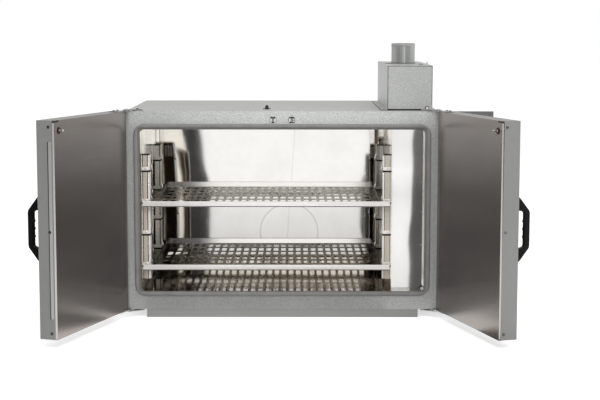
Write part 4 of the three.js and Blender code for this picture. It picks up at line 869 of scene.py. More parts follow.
class OVEN_OT_pilasters(bpy.types.Operator):
    """Makes the folds, slots and bosses on the pilasters' front walls, with painted shade at the grooves and slots,
    and dark sheets of painted shade on their backs
    """

    bl_idname = "oven.pilasters"
    bl_label = "Pilaster hems"

    def execute(self, context):
        for node in ("pilaster_front_left", "pilaster_front_right", "pilaster_rear_left", "pilaster_rear_right"):
            low, high = node_span(node)
            way = 1 if node.endswith("left") else -1
            wall = low[0] if way > 0 else high[0]
            front = low[1] + 11.0
            levels = self.free_lengths(low[2], high[2])
            self.folds(node, wall, way, front, levels)
            self.slots(node, wall, way, front, high[2])
            self.hollow(node, wall, way, front + 34.0, low[2] + 3.0, high[2] - 3.0)
        return {"FINISHED"}

    def folds(self, node, wall, way, front, levels):
        """The folded front wall: a raised web between two dark strips of painted shade at the grooves, a lip at the
        wall, and the bright outer side.
        """
        near_lip, groove, web, outer, _ = self.LAYOUT[node]
        pieces = {"tan": Piece(), "satin": Piece(), "hollow": Piece()}

        def fold(look, first, last, y0, y1, z0, z1):
            x0, x1 = sorted((wall + way * first, wall + way * last))
            pieces[look].slab((x0, y0, z0), (x1, y1, z1))

        for a, b in levels:
            plain = node == "pilaster_rear_left" and (a, b) == levels[-1]
            for look, (first, last), lift in (
                    ("satin", near_lip, 0.5), ("satin" if plain else "hollow", groove, 0.25),
                    ("satin" if "rear" in node else "tan", web, 0.9), ("satin", outer, 0.5)):
                fold(look, first, last, front - lift, front - 0.02, a, b)
            # Painted shade: a dark strip beside the web.
            fold("hollow", web[1] + 0.3, web[1] + 2.1, front - 0.25, front - 0.02, a, b)
            fold("satin", 27.55, 27.8, front + 1.5, front + 32.5, a, b)
        for look, piece in pieces.items():
            if piece.points:
                piece.finish(f"{node}_{look}", "cabinet", "rack_steel", finish(look),
                             bevel=0.2 if look == "tan" else 0.0)

    # By pilaster: distances from the wall of the lip, the inner groove's strip of painted shade, the web, the outer
    # strip and the bosses
    LAYOUT = {
        "pilaster_front_left": ((0.4, 3.0), (3.2, 5.4), (5.6, 18.0), (20.6, 27.4), 16.0),
        "pilaster_front_right": ((0.4, 3.2), (3.4, 4.6), (4.8, 20.6), (22.8, 27.4), 9.5),
        "pilaster_rear_left": ((7.6, 9.2), (0.4, 7.4), (9.6, 22.0), (25.4, 27.4), 5.0),
        "pilaster_rear_right": ((3.0, 16.0), (0.4, 2.8), (16.4, 17.4), (19.6, 20.6), 22.0),
    }

    def slots(self, node, wall, way, front, top):
        """Dark strips of painted shade over the slots in the front wall and along its top; over each slot a bright
        band, and on that a boss, a dome by two cosines.
        """
        s = sizes()
        dark, bright = Piece(), Piece()
        middle = wall + way * self.LAYOUT[node][4]
        near, far = sorted((wall + way * 1.5, wall + way * 27.0))
        for level in range(4):
            z = LINER_FLOOR + s.lowest_ledge + level * s.shelf_pitch
            # Painted shade: a dark strip over each slot.
            dark.slab((near, front - 1.0, z - 0.4), (far, front + 0.3, z + 5.0))
            bright.slab((near + 1.0, front - 1.0, z + 5.2), (far - 1.0, front - 0.3, z + 16.0))
            u, v = np.meshgrid(along(-1, 1, 9), along(-1, 1, 9))
            rise = np.cos(u * np.pi / 2) ** 0.6 * np.cos(v * np.pi / 2) ** 0.6
            bright.grid(np.stack([middle + way * 5.5 * u, front - 0.8 - 3.0 * rise, z + 11.0 + 5.0 * v], -1))
        # Painted shade: a dark strip along the pilaster's top.
        dark.slab((near, front - 1.0, top - 2.2), (far, front + 0.3, top + 0.2))
        dark.finish(f"{node}_slots", "cabinet", "dark_steel", finish("hollow"))
        bright.finish(f"{node}_bosses", "cabinet", "rack_steel", finish("satin"))

    def hollow(self, node, wall, way, back, low, high):
        """The channel's back: a dark sheet of painted shade where the channel is open, with three bright ribs near its
        top.
        """
        near, far = sorted((wall + way * 1.8, wall + way * 26.8))
        dark, ribs = Piece(), Piece()
        dark.slab((near, back + 0.03, low), (far, back + 0.35, high))
        # Painted shade: a dark sheet over the pilaster's back.
        dark.finish(f"{node}_hollow", "cabinet", "dark_steel", finish("umber" if "rear" in node else "foot"))
        if "front" in node:
            return
        for i in range(3):
            x = near + (far - near) * (i + 1) / 4
            ribs.slab((x - 1.5, back + 0.3, high - 44.0), (x + 1.5, back + 1.6, high - 8.0))
        ribs.finish(f"{node}_ribs", "cabinet", "rack_steel", finish("nose"), bevel=0.4)

    def free_lengths(self, low, high):
        """Stretches of a pilaster's front wall between its slots."""
        s = sizes()
        ledges = [LINER_FLOOR + s.lowest_ledge + i * s.shelf_pitch for i in range(4)]
        starts = [low] + [z + 6.0 for z in ledges]
        ends = [z - 0.5 for z in ledges] + [high]
        return [(a + 0.4, b - 0.4) for a, b in zip(starts, ends) if b - a > 4]


class OVEN_OT_back_wall(bpy.types.Operator):
    """Makes the bright skin of the chamber's back wall, slightly bulged as thin sheet is"""

    bl_idname = "oven.back_wall"
    bl_label = "Back wall"

    def execute(self, context):
        """The sheet rises over a ramp at the left, stays level and falls back near its right edge.

        Every rise is a half cosine. The ramp's is steepest past its middle and half as high at the top, the sheet
        comes a little further forward near its right edge, and it goes back to the wall at its upper and lower rims.
        """
        s = sizes()
        across = np.unique(np.concatenate([along(LINER_LEFT + 9.0, LINER_LEFT + 9.0 + s.bulge_ramp, 41),
                                           along(LINER_LEFT + 9.0 + s.bulge_ramp, LINER_RIGHT - 26.0, 41),
                                           along(LINER_RIGHT - 26.0, LINER_RIGHT - 9.0, 9)]))
        up = np.unique(np.concatenate([along(LINER_FLOOR + 9.0, LINER_FLOOR + 21.0, 7),
                                       along(LINER_FLOOR + 21.0, LINER_CEILING - 21.0, 41),
                                       along(LINER_CEILING - 21.0, LINER_CEILING - 9.0, 7)]))
        x, z = np.meshgrid(across, up)
        rise = ease(np.clip((x - across[0]) / s.bulge_ramp, 0, 1) ** 1.1)
        fall = ease((across[-1] - x) / 17.0)
        rims = ease((z - up[0]) / 12.0) * ease((up[-1] - z) / 12.0)
        height = 1.0 - 0.50 * ease((z - 290.0) / 240.0)
        y = LINER_BACK - 0.35 - (s.back_bulge * rise * height + 0.75 * ease((x - 230.0) / 110.0)) * fall * rims
        Piece().grid(np.stack([x, y, z], -1)).finish("back_wall_face", "cabinet", "chamber_steel", finish("back"))
        low, high = LINER_FLOOR + 8.5, LINER_CEILING - 8.5
        walls = Piece()
        walls.grid(self.upright(LINER_LEFT + 0.15, 3.0, LINER_BACK - 8.5, low, high))
        walls.finish("side_wall_face", "cabinet", "chamber_steel", finish("side"))
        plenum = float(node_span("plenum_front_panel")[0][1])
        Piece().grid(self.upright(-LINER_LEFT - 0.15, 3.0, plenum - 0.4, low, high)).finish(
            "plenum_side_face", "cabinet", "chamber_steel", finish("rack"))
        turn = along(0, np.pi / 2, 9)
        bend = 8.35 * np.stack([np.cos(turn), np.sin(turn)])
        corner = Piece()
        folds = ((0.15, -8.6), (2.4, -8.6), (2.4, -2.9), (8.9, -2.9), (8.9, -0.45))
        corner.grid(np.array([[[LINER_LEFT + x, LINER_BACK + y, z] for x, y in folds] for z in along(low, high, 9)]))
        corner.finish("corner_face", "cabinet", "chamber_steel", finish("back"))
        # Painted shade: the cove in the corner of floor and side wall is dark.
        foot = Piece()
        foot.grid(np.array([np.column_stack([LINER_LEFT + 8.5 - bend[0], np.full(9, y), LINER_FLOOR + 8.5 - bend[1]])
                            for y in along(3.0, LINER_BACK - 8.5, 21)]))
        foot.finish("floor_cove", "cabinet", "chamber_steel", finish("foot"))
        x, y = np.meshgrid(along(LINER_LEFT + 8.5, LINER_RIGHT - 0.6, 25), along(3.0, LINER_BACK - 8.5, 21))
        Piece().grid(np.stack([x, y, np.full(x.shape, LINER_FLOOR + 0.15)], -1)).finish(
            "chamber_floor_face", "cabinet", "chamber_steel", finish("floor"))
        seams = Piece()
        seams.slab((LINER_LEFT + 6.2, LINER_BACK - 3.5, low), (LINER_LEFT + 8.2, LINER_BACK - 2.95, high))
        seams.slab((LINER_LEFT + 0.2, 2.5, low), (LINER_LEFT + 0.5, 8.5, high))
        for x in along(-211.0, 213.0, 5):
            seams.grid(turned(((0.01, 0.9), (2.6, 0.7), (3.4, 0.16)), "z", (x, 13.0, LINER_FLOOR + 0.1), 14),
                       wrap_columns=True)
        seams.finish("corner_seams", "cabinet", "dark_steel", finish("dark"))
        self.lip()
        return {"FINISHED"}

    def upright(self, x, front, back, low, high):
        """A plain wall at one x, as a grid over its depth and height."""
        y, z = np.meshgrid(along(front, back, 25), along(low, high, 21))
        return np.stack([np.full(y.shape, x), y, z], -1)

    def lip(self):
        """The rubber lip round the chamber's mouth: a small profile carried round a rectangle with round corners.

        Each profile point is a distance outside the chamber's walls and a depth; the corner's radius grows with it.
        """
        profile = ((0.15, 4.0), (0.15, 0.9), (1.2, -0.6), (3.2, -1.4), (6.4, -1.4), (6.4, 1.2), (1.0, 1.6))
        rings = []
        for out, depth in profile:
            rings.append(np.array([[x, depth, z] for x, z in self.rounded(
                LINER_LEFT - out, -LINER_LEFT + out, LINER_FLOOR - out * 0.5, LINER_CEILING + out,
                14.0 + out - 0.3 * out * out)]))
        Piece().grid(np.array(rings), wrap_rows=True, wrap_columns=True).finish(
            "mouth_lip", "cabinet", "gasket_silicone", finish("lip"), smooth=60.0)

    def rounded(self, x0, x1, z0, z1, radius):
        """Points round a rectangle whose corners are quarter circles."""
        turn = along(0, np.pi / 2, 9)
        corners = ((x1 - radius, z1 - radius, 0), (x0 + radius, z1 - radius, 1), (x0 + radius, z0 + radius, 2),
                   (x1 - radius, z0 + radius, 3))
        return np.concatenate([np.stack([cx + radius * np.cos(turn + k * np.pi / 2),
                                         cz + radius * np.sin(turn + k * np.pi / 2)], -1) for cx, cz, k in corners])


class OVEN_OT_handles(bpy.types.Operator):
    """Makes the black bridge handles with their ribbed flanks and finger bumps"""

    bl_idname = "oven.handles"
    bl_label = "Handles"

    def execute(self, context):
        s = sizes()
        outline = self.outline()
        half, round_off = s.handle_width / 2, 1.6
        turn = along(0, np.pi / 2, 5)
        inset, shrink = round_off * (1 - np.cos(turn)), round_off * (1 - np.sin(turn))
        across = np.concatenate([inset - half, (half - inset)[::-1]])
        shrink = np.concatenate([shrink, shrink[::-1]])
        middle = s.pin_out + s.door_width - s.handle_edge - half
        face = s.door_inner - s.door_thickness - 0.3
        rings = []
        for place, inward in zip(across, shrink):
            ring = offset_outline(outline, inward)
            ring[:, 0] = np.maximum(ring[:, 0], 0.0)
            rings.append(np.column_stack([np.full(len(ring), middle + place), face - ring[:, 0],
                                          ring[:, 1] + HEIGHT / 2]))
        rings = np.array(rings)
        for side in ("left", "right"):
            piece = Piece().grid(swung(rings, side), wrap_columns=True, capped=True)
            piece.finish(f"handle_{side}", f"{side}_door", "black_plastic", finish(f"ribbed_{side}"), smooth=40.0,
                         stands_for=(f"door_handle_{side}",))
        return {"FINISHED"}

    def outline(self):
        """The handle's side view: distance from the door, and height from its middle.

        Its outer side is straight with a long round at both shoulders. Its inner side carries bumps, each the
        eighth power of a cosine of the height.
        """
        s = sizes()
        end, gap, reach, bar = s.handle_length / 2, s.handle_gap / 2, s.handle_reach, s.handle_bar
        inner, shoulder = reach - bar, s.handle_grip / 2
        t = along(0, 1, 7)[:, None]
        bend = lambda a, b, c: (1 - t) ** 2 * np.array(a) + 2 * t * (1 - t) * np.array(b) + t ** 2 * np.array(c)
        slope = np.array([0.619, 0.786])
        knee = reach - (end - shoulder) * slope[0] / slope[1]
        top = np.concatenate([
            bend((knee - 6.0, end), (knee, end), (knee + 6.0 * slope[0], end - 6.0 * slope[1])),
            bend((reach - 6.0 * slope[0], shoulder + 6.0 * slope[1]), (reach, shoulder), (reach, shoulder - 7.0))])
        top = np.concatenate([[(0.0, end)], top])
        height = along(-gap + s.handle_corner, gap - s.handle_corner, 65)
        wave = np.abs(np.cos(np.pi * height / s.bump_pitch)) ** 10 * (np.abs(height) < 1.5 * s.bump_pitch)
        grip = np.column_stack([inner - s.bump_height * wave, height])
        corner = bend((0, gap), (inner, gap + 0.5), (inner, gap - s.handle_corner))
        low = np.column_stack([top[:, 0], -top[:, 1]])[::-1]
        lower_corner = np.column_stack([corner[:, 0], -corner[:, 1]])
        return np.concatenate([lower_corner, grip[1:-1], corner[::-1], top, low])


class OVEN_OT_door_trim(bpy.types.Operator):
    """Makes the doors' edge screws and corner notches, the seal strip and the latch studs"""

    bl_idname = "oven.door_trim"
    bl_label = "Door trim"

    def execute(self, context):
        s = sizes()
        edge = s.pin_out + s.door_width
        for side, depth in (("left", -17.0), ("right", -14.0)):
            piece = Piece()
            lifted = 1.4 if side == "left" else 0.02
            for z, lift in ((17.5, 0.02), (HEIGHT / 2 - 3.5, lifted), (HEIGHT - 18.5, 0.02)):
                piece.grid(swung(screw_head((edge + lift, depth, z), (1, 0, 0), 4.6, 0.7), side), wrap_columns=True)
            # Painted shade: the left door's edge screws take the dark finish where the right door's take the grey one.
            piece.finish(f"edge_screws_{side}", f"{side}_door", "zinc_steel",
                         finish("dark" if side == "left" else "screw"))
            # Painted highlight: the hem is lighter than the door's panel.
            hem = Piece()
            wide = 5.9 if side == "left" else 4.2
            hem.slab((edge + 0.1, s.door_inner - wide - 0.4, 4.0), (edge + 0.4, s.door_inner - 0.4, HEIGHT - 7.0),
                     lambda ring: swung(ring, side))
            hem.finish(f"hem_painted_highlight_{side}", f"{side}_door", "door_panel_steel", finish("hem"), bevel=0.1)
            self.stud(side)
            notch = Piece()
            face = s.door_inner
            notch.slab((edge - 26.0, face + 0.02, HEIGHT - 5.6), (edge - 0.2, face + 0.2, HEIGHT - 0.3),
                       lambda ring: swung(ring, side))
            notch.finish(f"corner_notch_{side}", f"{side}_door", "dark_steel", finish("dark"))
        self.strip(edge)
        return {"FINISHED"}

    def strip(self, edge):
        """The seal strip on the left door's free edge: a rounded bar and a dark strip of painted shadow along its
        outer side.

        The outline is a long oval: straight sides with a half circle at each end.
        """
        s = sizes()
        turn = along(0, np.pi, 9)
        # Painted shadow: the second strip is dark, along the strip's outer side.
        for name, near, far, proud, slot, look in (
                ("seal_strip", -7.4, -17.6, 1.45, "zinc_steel", "strip"),
                ("seal_strip_painted_shadow", -17.3, -20.3, 1.2, "dark_steel", "dark")):
            half, middle = (near - far) / 2, (near + far) / 2
            low, high = LINER_FLOOR + 2.0 + half, LINER_CEILING - 2.0 - half
            side = np.concatenate([np.stack([middle + half * np.cos(turn), high + half * np.sin(turn)], -1),
                                   np.stack([middle - half * np.cos(turn), low - half * np.sin(turn)], -1)])
            rings = np.array([np.column_stack([np.full(len(side), x), side]) for x in (edge + 0.16, edge + proud)])
            Piece().grid(swung(rings, "left"), wrap_columns=True, capped=True).finish(
                name, "left_door", slot, finish(look), bevel=0.3,
                stands_for=("door_seal_strip",) if name == "seal_strip" else ())

    def stud(self, side):
        """The latch stud: a flange, a waist and a pointed ball, as one profile about its axis."""
        s = sizes()
        face, tip = s.door_inner + 0.3, s.door_inner + 0.3 + 16.0
        angle = along(-0.96, np.pi / 2, 12)
        profile = [(0.01, face), (3.4, face), (3.4, face + 1.9), (2.2, face + 3.0), (2.0, face + 6.5)]
        profile += [(3.5 * math.cos(a) + 0.004, tip - 3.5 + 3.5 * math.sin(a)) for a in angle]
        centre = (s.pin_out + HALF_WIDTH - 29.0, 0.0, STRIKE_Z)
        points = swung(turned(profile, "y", centre, 28), side)
        Piece().grid(points, wrap_columns=True, capped=True).finish(
            f"latch_stud_{side}", f"{side}_door", "zinc_steel", finish("bright_screw"),
            stands_for=(f"latch_strike_{side}",))
        flange = turned([(0.01, face + 1.6), (5.5, face + 1.9), (9.6, face + 1.2), (9.9, face + 0.1), (0.02, face)],
                        "y", centre, 28)
        Piece().grid(swung(flange, side), wrap_columns=True, capped=True).finish(
            f"latch_flange_{side}", f"{side}_door", "zinc_steel", finish("umber"))


class OVEN_OT_fasteners(bpy.types.Operator):
    """Makes the screws and rivets of the cabinet, the chamber, the hinges and the exhaust"""

    bl_idname = "oven.fasteners"
    bl_label = "Fasteners"

    def execute(self, context):
        self.heads("chamber_rivets", [(x, 37.9, z) for x, z in (
            (436.5, 543.0), (436.0, 470.0), (436.0, 398.0), (436.0, 304.0), (436.0, 198.0), (436.0, 74.0))],
            (0, -1, 0), 2.6, 1.0, "screw")
        self.heads("wall_rivets", [(LINER_LEFT + 0.1, 12.0, z) for z in (536.0, 312.0, 200.0)], (1, 0, 0), 2.6, 1.0,
                   "screw")
        top = HEIGHT + 2.82
        # Painted shade and painted highlight: the top hinges carry one kind of screw, dark on the left and bright on
        # the right.
        self.heads("hinge_screw_left", [(-452.0, 32.0, top)], (0, 0, 1), 4.4, 5.0, "dark")
        self.heads("hinge_screw_right", [(452.0, 36.0, top)], (0, 0, 1), 5.4, 6.5, "bright_screw")
        self.heads("hinge_screws_low", [(way * 450.0, 32.0, -2.82) for way in (-1, 1)], (0, 0, -1), 4.4, 4.0, "screw")
        self.heads("duct_washer", [(452.5, DUCT_LOW[1] - 0.02, HEIGHT + 7.5)], (0, -1, 0), 6.9, 0.8, "dark")
        self.heads("duct_screw", [(452.5, DUCT_LOW[1] - 0.6, HEIGHT + 7.5)], (0, -1, 0), 4.3, 2.0, "nose")
        self.heads("duct_screws_flange", [(DUCT_LOW[0] + 9.0, y, HEIGHT + 1.5) for y in (80.0, 260.0, 440.0, 570.0)],
                   (0, 0, 1), 3.6, 1.5, "screw")
        for side in ("left", "right"):
            s = sizes()
            piece = Piece()
            for x, y in ((s.pin_out + 16.0, -20.0), (s.pin_out + 42.0, -20.0)):
                for z, out in ((HEIGHT + 2.82, 1), (-2.82, -1)):
                    head = screw_head((x, y, z), (0, 0, out), 4.0, 3.4)
                    piece.grid(swung(head, side), wrap_columns=True)
            piece.finish(f"leaf_screws_{side}", f"{side}_door", "zinc_steel", finish("screw"))
        back = DEPTH + 0.02
        places = [(x, back, z) for x in along(-474, 474, 7) for z in (8.0, HEIGHT - 8.0)]
        places += [(x, back, z) for x in (-479.0, 479.0) for z in along(115, HEIGHT - 115, 3)]
        self.heads("back_screws", places, (0, 1, 0), 4.0, 0.5, "screw")
        low, high = PANEL_LOW, PANEL_HIGH
        places = [(x, low[1] - 0.02, z) for x in (low[0] + 9.0, high[0] - 9.0)
                  for z in (low[2] + 10.0, high[2] - 10.0)]
        self.heads("panel_screws", places, (0, -1, 0), 3.4, 1.2, "screw")
        return {"FINISHED"}

    def heads(self, name, places, out, radius, height, look):
        piece = Piece()
        for place in places:
            piece.grid(screw_head(place, out, radius, height), wrap_columns=True)
        piece.finish(name, "cabinet", "zinc_steel", finish(look))


class OVEN_OT_catches(bpy.types.Operator):
    """Makes the catches' pressed cheeks and dark pads of painted shade in their pockets"""

    bl_idname = "oven.catches"
    bl_label = "Catches"

    def pad(self, x, z, wide, high):
        """A flat oval pad that faces forward, domed as one less the fourth power of the distance from its middle."""
        share = np.array([0.02, 0.4, 0.75, 0.92, 1.0])[:, None]
        turn = np.linspace(0, 2 * np.pi, 24, endpoint=False)[None, :]
        rise = 0.5 * (1 - share ** 4) + 0 * turn
        return np.stack([x + wide * share * np.cos(turn), -1.2 - rise, z + high * share * np.sin(turn)], -1)

    def execute(self, context):
        for side, way in (("left", -1), ("right", 1)):
            low, high = node_span(f"catch_{side}")
            x, z = (low[0] + high[0]) / 2, (low[2] + high[2]) / 2
            plates = Piece()
            for cheek in (-1, 1):
                a, b = x + cheek * 4.3, x + cheek * 8.0
                plates.slab((min(a, b), -0.9, z - 6.2), (max(a, b), 15.0, z + 4.4))
            plates.finish(f"catch_cheeks_{side}", "cabinet", "zinc_steel", finish("satin"), bevel=0.5)
            # Painted shade: dark pads in each catch's pocket.
            dark = Piece()
            if side == "left":
                pads = ((-3.7, 6.3, 4.4, 3.0), (3.7, 6.3, 4.4, 3.0), (0.0, -8.4, 4.2, 2.0), (0.0, 4.0, 1.3, 2.4),
                        (8.8, 0.0, 0.7, 6.5), (-8.8, 0.0, 0.6, 6.5))
            else:
                pads = ((-4.6, 6.0, 4.4, 2.6), (0.0, 7.0, 5.0, 2.4), (4.6, 6.0, 4.4, 2.6), (-4.2, -8.6, 4.4, 1.6),
                        (4.2, -8.6, 4.4, 1.6), (-8.8, -1.0, 0.9, 7.0), (8.8, -1.0, 0.6, 7.0), (5.0, -1.0, 1.6, 1.6))
            for right, up, wide, high in pads:
                dark.grid(self.pad(x + right, z + up, wide, high), wrap_columns=True)
            dark.finish(f"catch_painted_shade_{side}", "cabinet", "dark_steel", finish("dark"))
        return {"FINISHED"}


class OVEN_OT_exhaust(bpy.types.Operator):
    """Makes the seam of the flue pipe, and the folds of the exhaust duct"""

    bl_idname = "oven.exhaust"
    bl_label = "Exhaust"

    def execute(self, context):
        low, high = node_span("flue_pipe")
        x, y = (low[0] + high[0]) / 2, (low[1] + high[1]) / 2
        top, deck = high[2], DUCT_HIGH[2]
        outer = sizes().flue_radius
        angle = math.radians(-88)
        height = along(deck + 3.0, top - 8.0, 2)
        across = along(-1, 1, 9)
        lift = 1.1 * np.clip(1.15 - across ** 4, 0, 1)
        turn = angle + across * 2.6 / outer

        def side(radius):
            return np.array([np.column_stack([x + radius * np.cos(turn), y + radius * np.sin(turn), np.full(9, z)])
                             for z in height])

        ring = np.concatenate([side(outer - 0.3 + lift), side(outer - 0.6)[:, ::-1]], 1)
        # Painted highlight: the seam is lighter than the flue's sheet.
        Piece().grid(ring, wrap_columns=True, capped=True).finish(
            "flue_seam", "cabinet", "zinc_steel", finish("hem"))
        folds = Piece()
        a, b = DUCT_LEFT, DUCT_RIGHT
        face = DUCT_LOW[1] - 0.05
        # Painted shadow: dark strips under the duct's front and along its foot flange, and two dark marks on its deck.
        shadows_and_marks = Piece()
        left, front = DUCT_LOW[0], DUCT_LOW[1]
        for piece, low, high in (
                (folds, (a + 0.6, face - 0.2, HEIGHT + 4.0), (a + 2.4, face, deck - 1.0)),
                (folds, (a + 0.6, face - 0.2, deck - 2.9), (b - 0.6, face, deck - 1.5)),
                (folds, (b - 2.2, face - 0.2, HEIGHT + 18.0), (b - 0.9, face, deck - 1.5)),
                (shadows_and_marks, (a + 0.6, face - 0.6, HEIGHT + 0.2), (a + 105.0, face, HEIGHT + 4.4)),
                (shadows_and_marks, (a + 8.0, front + 230.0, deck + 0.02), (a + 34.0, front + 246.0, deck + 1.4)),
                (shadows_and_marks, (b - 34.0, front + 120.0, deck + 0.02), (b - 20.0, front + 132.0, deck + 1.4)),
                (shadows_and_marks, (left - 1.1, front + 0.4, HEIGHT + 0.05), (left + 0.1, DUCT_HIGH[1], HEIGHT + 1.7)),
                (shadows_and_marks, (left, front - 0.6, HEIGHT + 0.05), (a + 0.6, front + 0.2, HEIGHT + 1.7))):
            piece.slab(low, high)
        shadows_and_marks.finish("duct_shadows_and_marks", "cabinet", "dark_steel", finish("hollow"))
        folds.grid(turned(((outer + 0.3, deck + 0.1), (outer + 2.2, deck + 0.1), (outer + 2.2, deck + 1.6),
                           (outer + 0.3, deck + 3.4)), "z", (x, y, 0.0), 48), wrap_rows=True, wrap_columns=True)
        folds.finish("duct_seams", "cabinet", "dark_steel", finish("dark"))
        return {"FINISHED"}


def bare_material(name):
    """An empty material and its node tree."""
    made = bpy.data.materials.new(name)
    made.use_nodes = True
    made.node_tree.nodes.clear()
    return made, made.node_tree


def seen_by(tree, *rays):
    """One for the named kinds of ray, zero for the others."""
    path = put(tree, "ShaderNodeLightPath")
    seen = path.outputs[rays[0]]
    for ray in rays[1:]:
        seen = computed(tree, "MAXIMUM", seen, path.outputs[ray])
    return seen


class OVEN_OT_stage(bpy.types.Operator):
    """Makes the floor, the lamps, the even light and the camera"""

    bl_idname = "oven.stage"
    bl_label = "Stage"

    def execute(self, context):
        scene = context.scene
        scene.view_settings.view_transform = "Standard"
        self.floor()
        self.cards()
        self.lamps(scene)
        self.world(scene)
        self.camera(scene)
        return {"FINISHED"}

    def floor(self):
        """A wide level floor whose colour goes to white and that keeps the oven's shadow."""
        s = studio()
        mesh = bpy.data.meshes.new("floor")
        half = 30.0
        mesh.from_pydata([(-half, -half, 0), (half, -half, 0), (half, half, 0), (-half, half, 0)], [], [(0, 1, 2, 3)])
        made, tree = bare_material("floor")
        seen = seen_by(tree, "Is Camera Ray", "Is Glossy Ray")
        glow = put(tree, "ShaderNodeEmission", None, {"Strength": times(tree, seen, s.glow)})
        matt = put(tree, "ShaderNodeBsdfDiffuse", None, {"Color": (0.8, 0.8, 0.8, 1.0)})
        both = put(tree, "ShaderNodeAddShader", None, {0: matt.outputs[0], 1: glow.outputs[0]})
        put(tree, "ShaderNodeOutputMaterial", None, {"Surface": both.outputs[0]})
        mesh.materials.append(made)
        floor = bpy.data.objects.new("floor", mesh)
        bpy.context.scene.collection.objects.link(floor)

    def cards(self):
        """Flags round the camera's view that only the gloss sees.

        The inner edges of the two dark flags are narrowest at one height and lean outwards from it, by the square
        of the distance below it and by the cube above. The grey flag's edge is a parabola with a slow sine on it,
        and it goes on along the floor. The flag on the floor is a plain strip between the doors, the studio's sides
        are two walls, and the sky is a sheet behind the oven.
        """
        s = studio()
        up = along(-22.0, 760.0, 48)
        waist = 300.0
        lean = np.where(up > waist, 0.0000035 * (up - waist) ** 3, 0.0005 * (up - waist) ** 2)
        plane = np.full(len(up), -620.0)
        outer = np.minimum(-548.0 + 0.00023 * np.maximum(up - waist, 0.0) ** 2, -340.0 - lean)
        self.card("flag_left", np.column_stack([-328.0 - lean, plane, up]), np.column_stack([outer, plane, up]),
                  s.flag_dark)
        self.card("flag_right", np.column_stack([np.minimum(328.0 + 0.8 * lean, 372.0), plane, up]),
                  np.column_stack([378.0 + 0 * up, plane, up]), s.flag_dark)
        wavy = 454.0 + 0.00005 * (up - 60.0) ** 2 + 2.0 * np.sin(up / 27.0)
        foot = np.array([[wavy[0] - 30.0, -250.0, up[0]]])
        self.card("flag_grey", np.concatenate([foot, np.column_stack([wavy, plane, up])]),
                  np.concatenate([foot + [290.0, 0.0, 0.0], np.column_stack([720.0 + 0 * up, plane, up])]),
                   s.flag_grey)
        self.screen()
        deep = along(-55.0, -900.0, 3)
        self.card("flag_floor", np.column_stack([np.full(3, -455.0), deep, np.full(3, -BASE + 1.0)]),
                  np.column_stack([np.full(3, 330.0), deep, np.full(3, -BASE + 1.0)]), s.flag_grey)
        high = np.array([-BASE + 1.0, 2600.0])
        for way, name in ((-1, "room_left"), (1, "room_right")):
            self.card(name, np.column_stack([np.full(2, way * 1500.0), np.full(2, -5200.0), high]),
                      np.column_stack([np.full(2, way * 3000.0), np.full(2, -700.0), high]), s.room)
        wide = np.array([-3000.0, 3000.0])
        self.card("sky", np.column_stack([wide, np.full(2, 3200.0), np.full(2, 700.0)]),
                  np.column_stack([wide, np.full(2, 2600.0), np.full(2, 2800.0)]), s.sky)

    def screen(self):
        """A screen in the cabinet's mouth that only the doors' panels see, brightest at its top.

        Its back is clear, so what leaves the chamber passes through it.
        """
        made, tree = bare_material("screen")
        share = spread(tree, height_of(tree, object_place(tree)), 0.0, 0.66)
        tone = ramp(tree, share, [(0.0, 0.27), (0.125, 0.25), (0.14, 0.16), (0.36, 0.14), (0.60, 0.20), (0.85, 0.50),
                                  (1.0, 0.75)])
        shine = put(tree, "ShaderNodeEmission", None, {"Color": tone, "Strength": 1.0})
        clear = put(tree, "ShaderNodeBsdfTransparent", None, {"Color": (1.0, 1.0, 1.0, 1.0)})
        side = put(tree, "ShaderNodeNewGeometry").outputs["Backfacing"]
        both = put(tree, "ShaderNodeMixShader", None, {0: side, 1: shine.outputs[0], 2: clear.outputs[0]})
        put(tree, "ShaderNodeOutputMaterial", None, {"Surface": both.outputs[0]})
        wide, high = np.array([-462.0, 462.0]), np.array([-BASE + 1.0, HEIGHT])
        self.place("screen", np.array([[wide[0], -4.0, high[0]], [wide[0], -4.0, high[1]]]),
                   np.array([[wide[1], -4.0, high[0]], [wide[1], -4.0, high[1]]]), made)

    def card(self, name, first, second, glow):
        """A flag between two edges, each a row of points in this file's millimetres."""
        made, tree = bare_material(name)
        shade = put(tree, "ShaderNodeEmission", None, {"Color": (1.0, 0.97, 0.94, 1.0), "Strength": glow})
        put(tree, "ShaderNodeOutputMaterial", None, {"Surface": shade.outputs[0]})
        self.place(name, first, second, made)

    def place(self, name, first, second, made):
        """Stands a flag between two rows of points, where camera, plain light and shadow pass it by."""
        rows = np.stack([first, second], 1)
        count = len(rows)
        faces = [(2 * i, 2 * i + 1, 2 * i + 3, 2 * i + 2) for i in range(count - 1)]
        mesh = bpy.data.meshes.new(name)
        mesh.from_pydata(to_row(rows.reshape(-1, 3)).tolist(), [], faces)
        mesh.materials.append(made)
        card = bpy.data.objects.new(name, mesh)
        bpy.context.scene.collection.objects.link(card)
        card.visible_camera = False
        card.visible_diffuse = False
        card.visible_shadow = False

    def lamps(self, scene):
        """A wide soft lamp over the front, and a weaker one on the right."""
        for name, place, aim, size, power in (
                ("over_front", (0.3, -2.6, 3.4), (0.0, 0.0, 0.3), 3.0, 95.0),
                ("right_side", (3.4, -2.8, 1.6), (0.0, 0.0, 0.4), 2.2, 44.0)):
            lamp = bpy.data.lights.new(name, "AREA")
            lamp.size = size
            lamp.energy = power
            holder = bpy.data.objects.new(name, lamp)
            holder.location = place
            holder.rotation_euler = (Vector(aim) - Vector(place)).to_track_quat("-Z", "Y").to_euler()
            scene.collection.objects.link(holder)
            holder.visible_glossy = False

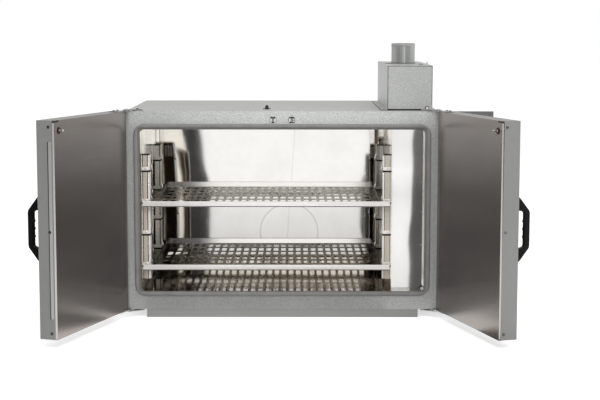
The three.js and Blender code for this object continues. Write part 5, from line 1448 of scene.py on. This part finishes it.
    def world(self, scene):
        """Even light all round, which camera, gloss and glass see as white."""
        world = bpy.data.worlds.new("studio")
        world.use_nodes = True
        tree = world.node_tree
        seen = seen_by(tree, "Is Camera Ray", "Is Glossy Ray", "Is Transmission Ray")
        shade = tree.nodes["Background"]
        shade.inputs["Color"].default_value = (1.0, 1.0, 1.0, 1.0)
        tree.links.new(scaled(tree, seen, studio().fill, 1.0), shade.inputs["Strength"])
        scene.world = world

    def camera(self, scene):
        s = studio()
        pitch, yaw, roll = s.turn
        camera = bpy.data.cameras.new("camera")
        camera.sensor_width = 36.0
        camera.lens = s.lens
        holder = bpy.data.objects.new("camera", camera)
        turn = Matrix.Rotation(-yaw, 4, "Z") @ Matrix.Rotation(math.pi / 2 - pitch, 4, "X")
        holder.matrix_world = Matrix.Translation(s.camera) @ turn @ Matrix.Rotation(-roll, 4, "Z")
        scene.collection.objects.link(holder)
        scene.camera = holder


class OVEN_PT_tools(bpy.types.Panel):
    """Lists the oven's operators, sizes and colours"""

    bl_idname = "OVEN_PT_tools"
    bl_label = "Drying oven"
    bl_space_type = "VIEW_3D"
    bl_region_type = "UI"
    bl_category = "Oven"

    def draw(self, context):
        for group in (context.scene.oven_sizes, context.scene.oven_colours, context.scene.oven_stage):
            box = self.layout.box()
            for name in group.__annotations__:
                box.prop(group, name)
        for step in STEPS:
            self.layout.operator(step.bl_idname)


STEPS = (OVEN_OT_finishes, OVEN_OT_back_wall, OVEN_OT_shelves, OVEN_OT_pilasters, OVEN_OT_handles, OVEN_OT_door_trim,
         OVEN_OT_fasteners, OVEN_OT_catches, OVEN_OT_exhaust, OVEN_OT_stage)
GROUP_CLASSES = (OvenSizes, OvenColours, StageSettings)


def register():
    for item in (*GROUP_CLASSES, *STEPS, OVEN_PT_tools):
        bpy.utils.register_class(item)
    bpy.types.Scene.oven_sizes = bpy.props.PointerProperty(type=OvenSizes)
    bpy.types.Scene.oven_colours = bpy.props.PointerProperty(type=OvenColours)
    bpy.types.Scene.oven_stage = bpy.props.PointerProperty(type=StageSettings)


def unregister():
    for name in ("oven_sizes", "oven_colours", "oven_stage"):
        delattr(bpy.types.Scene, name)
    for item in reversed((*GROUP_CLASSES, *STEPS, OVEN_PT_tools)):
        bpy.utils.unregister_class(item)


def main():
    register()
    for step in STEPS:
        group, name = step.bl_idname.split(".")
        getattr(getattr(bpy.ops, group), name)()


if __name__ == "__main__":
    main()
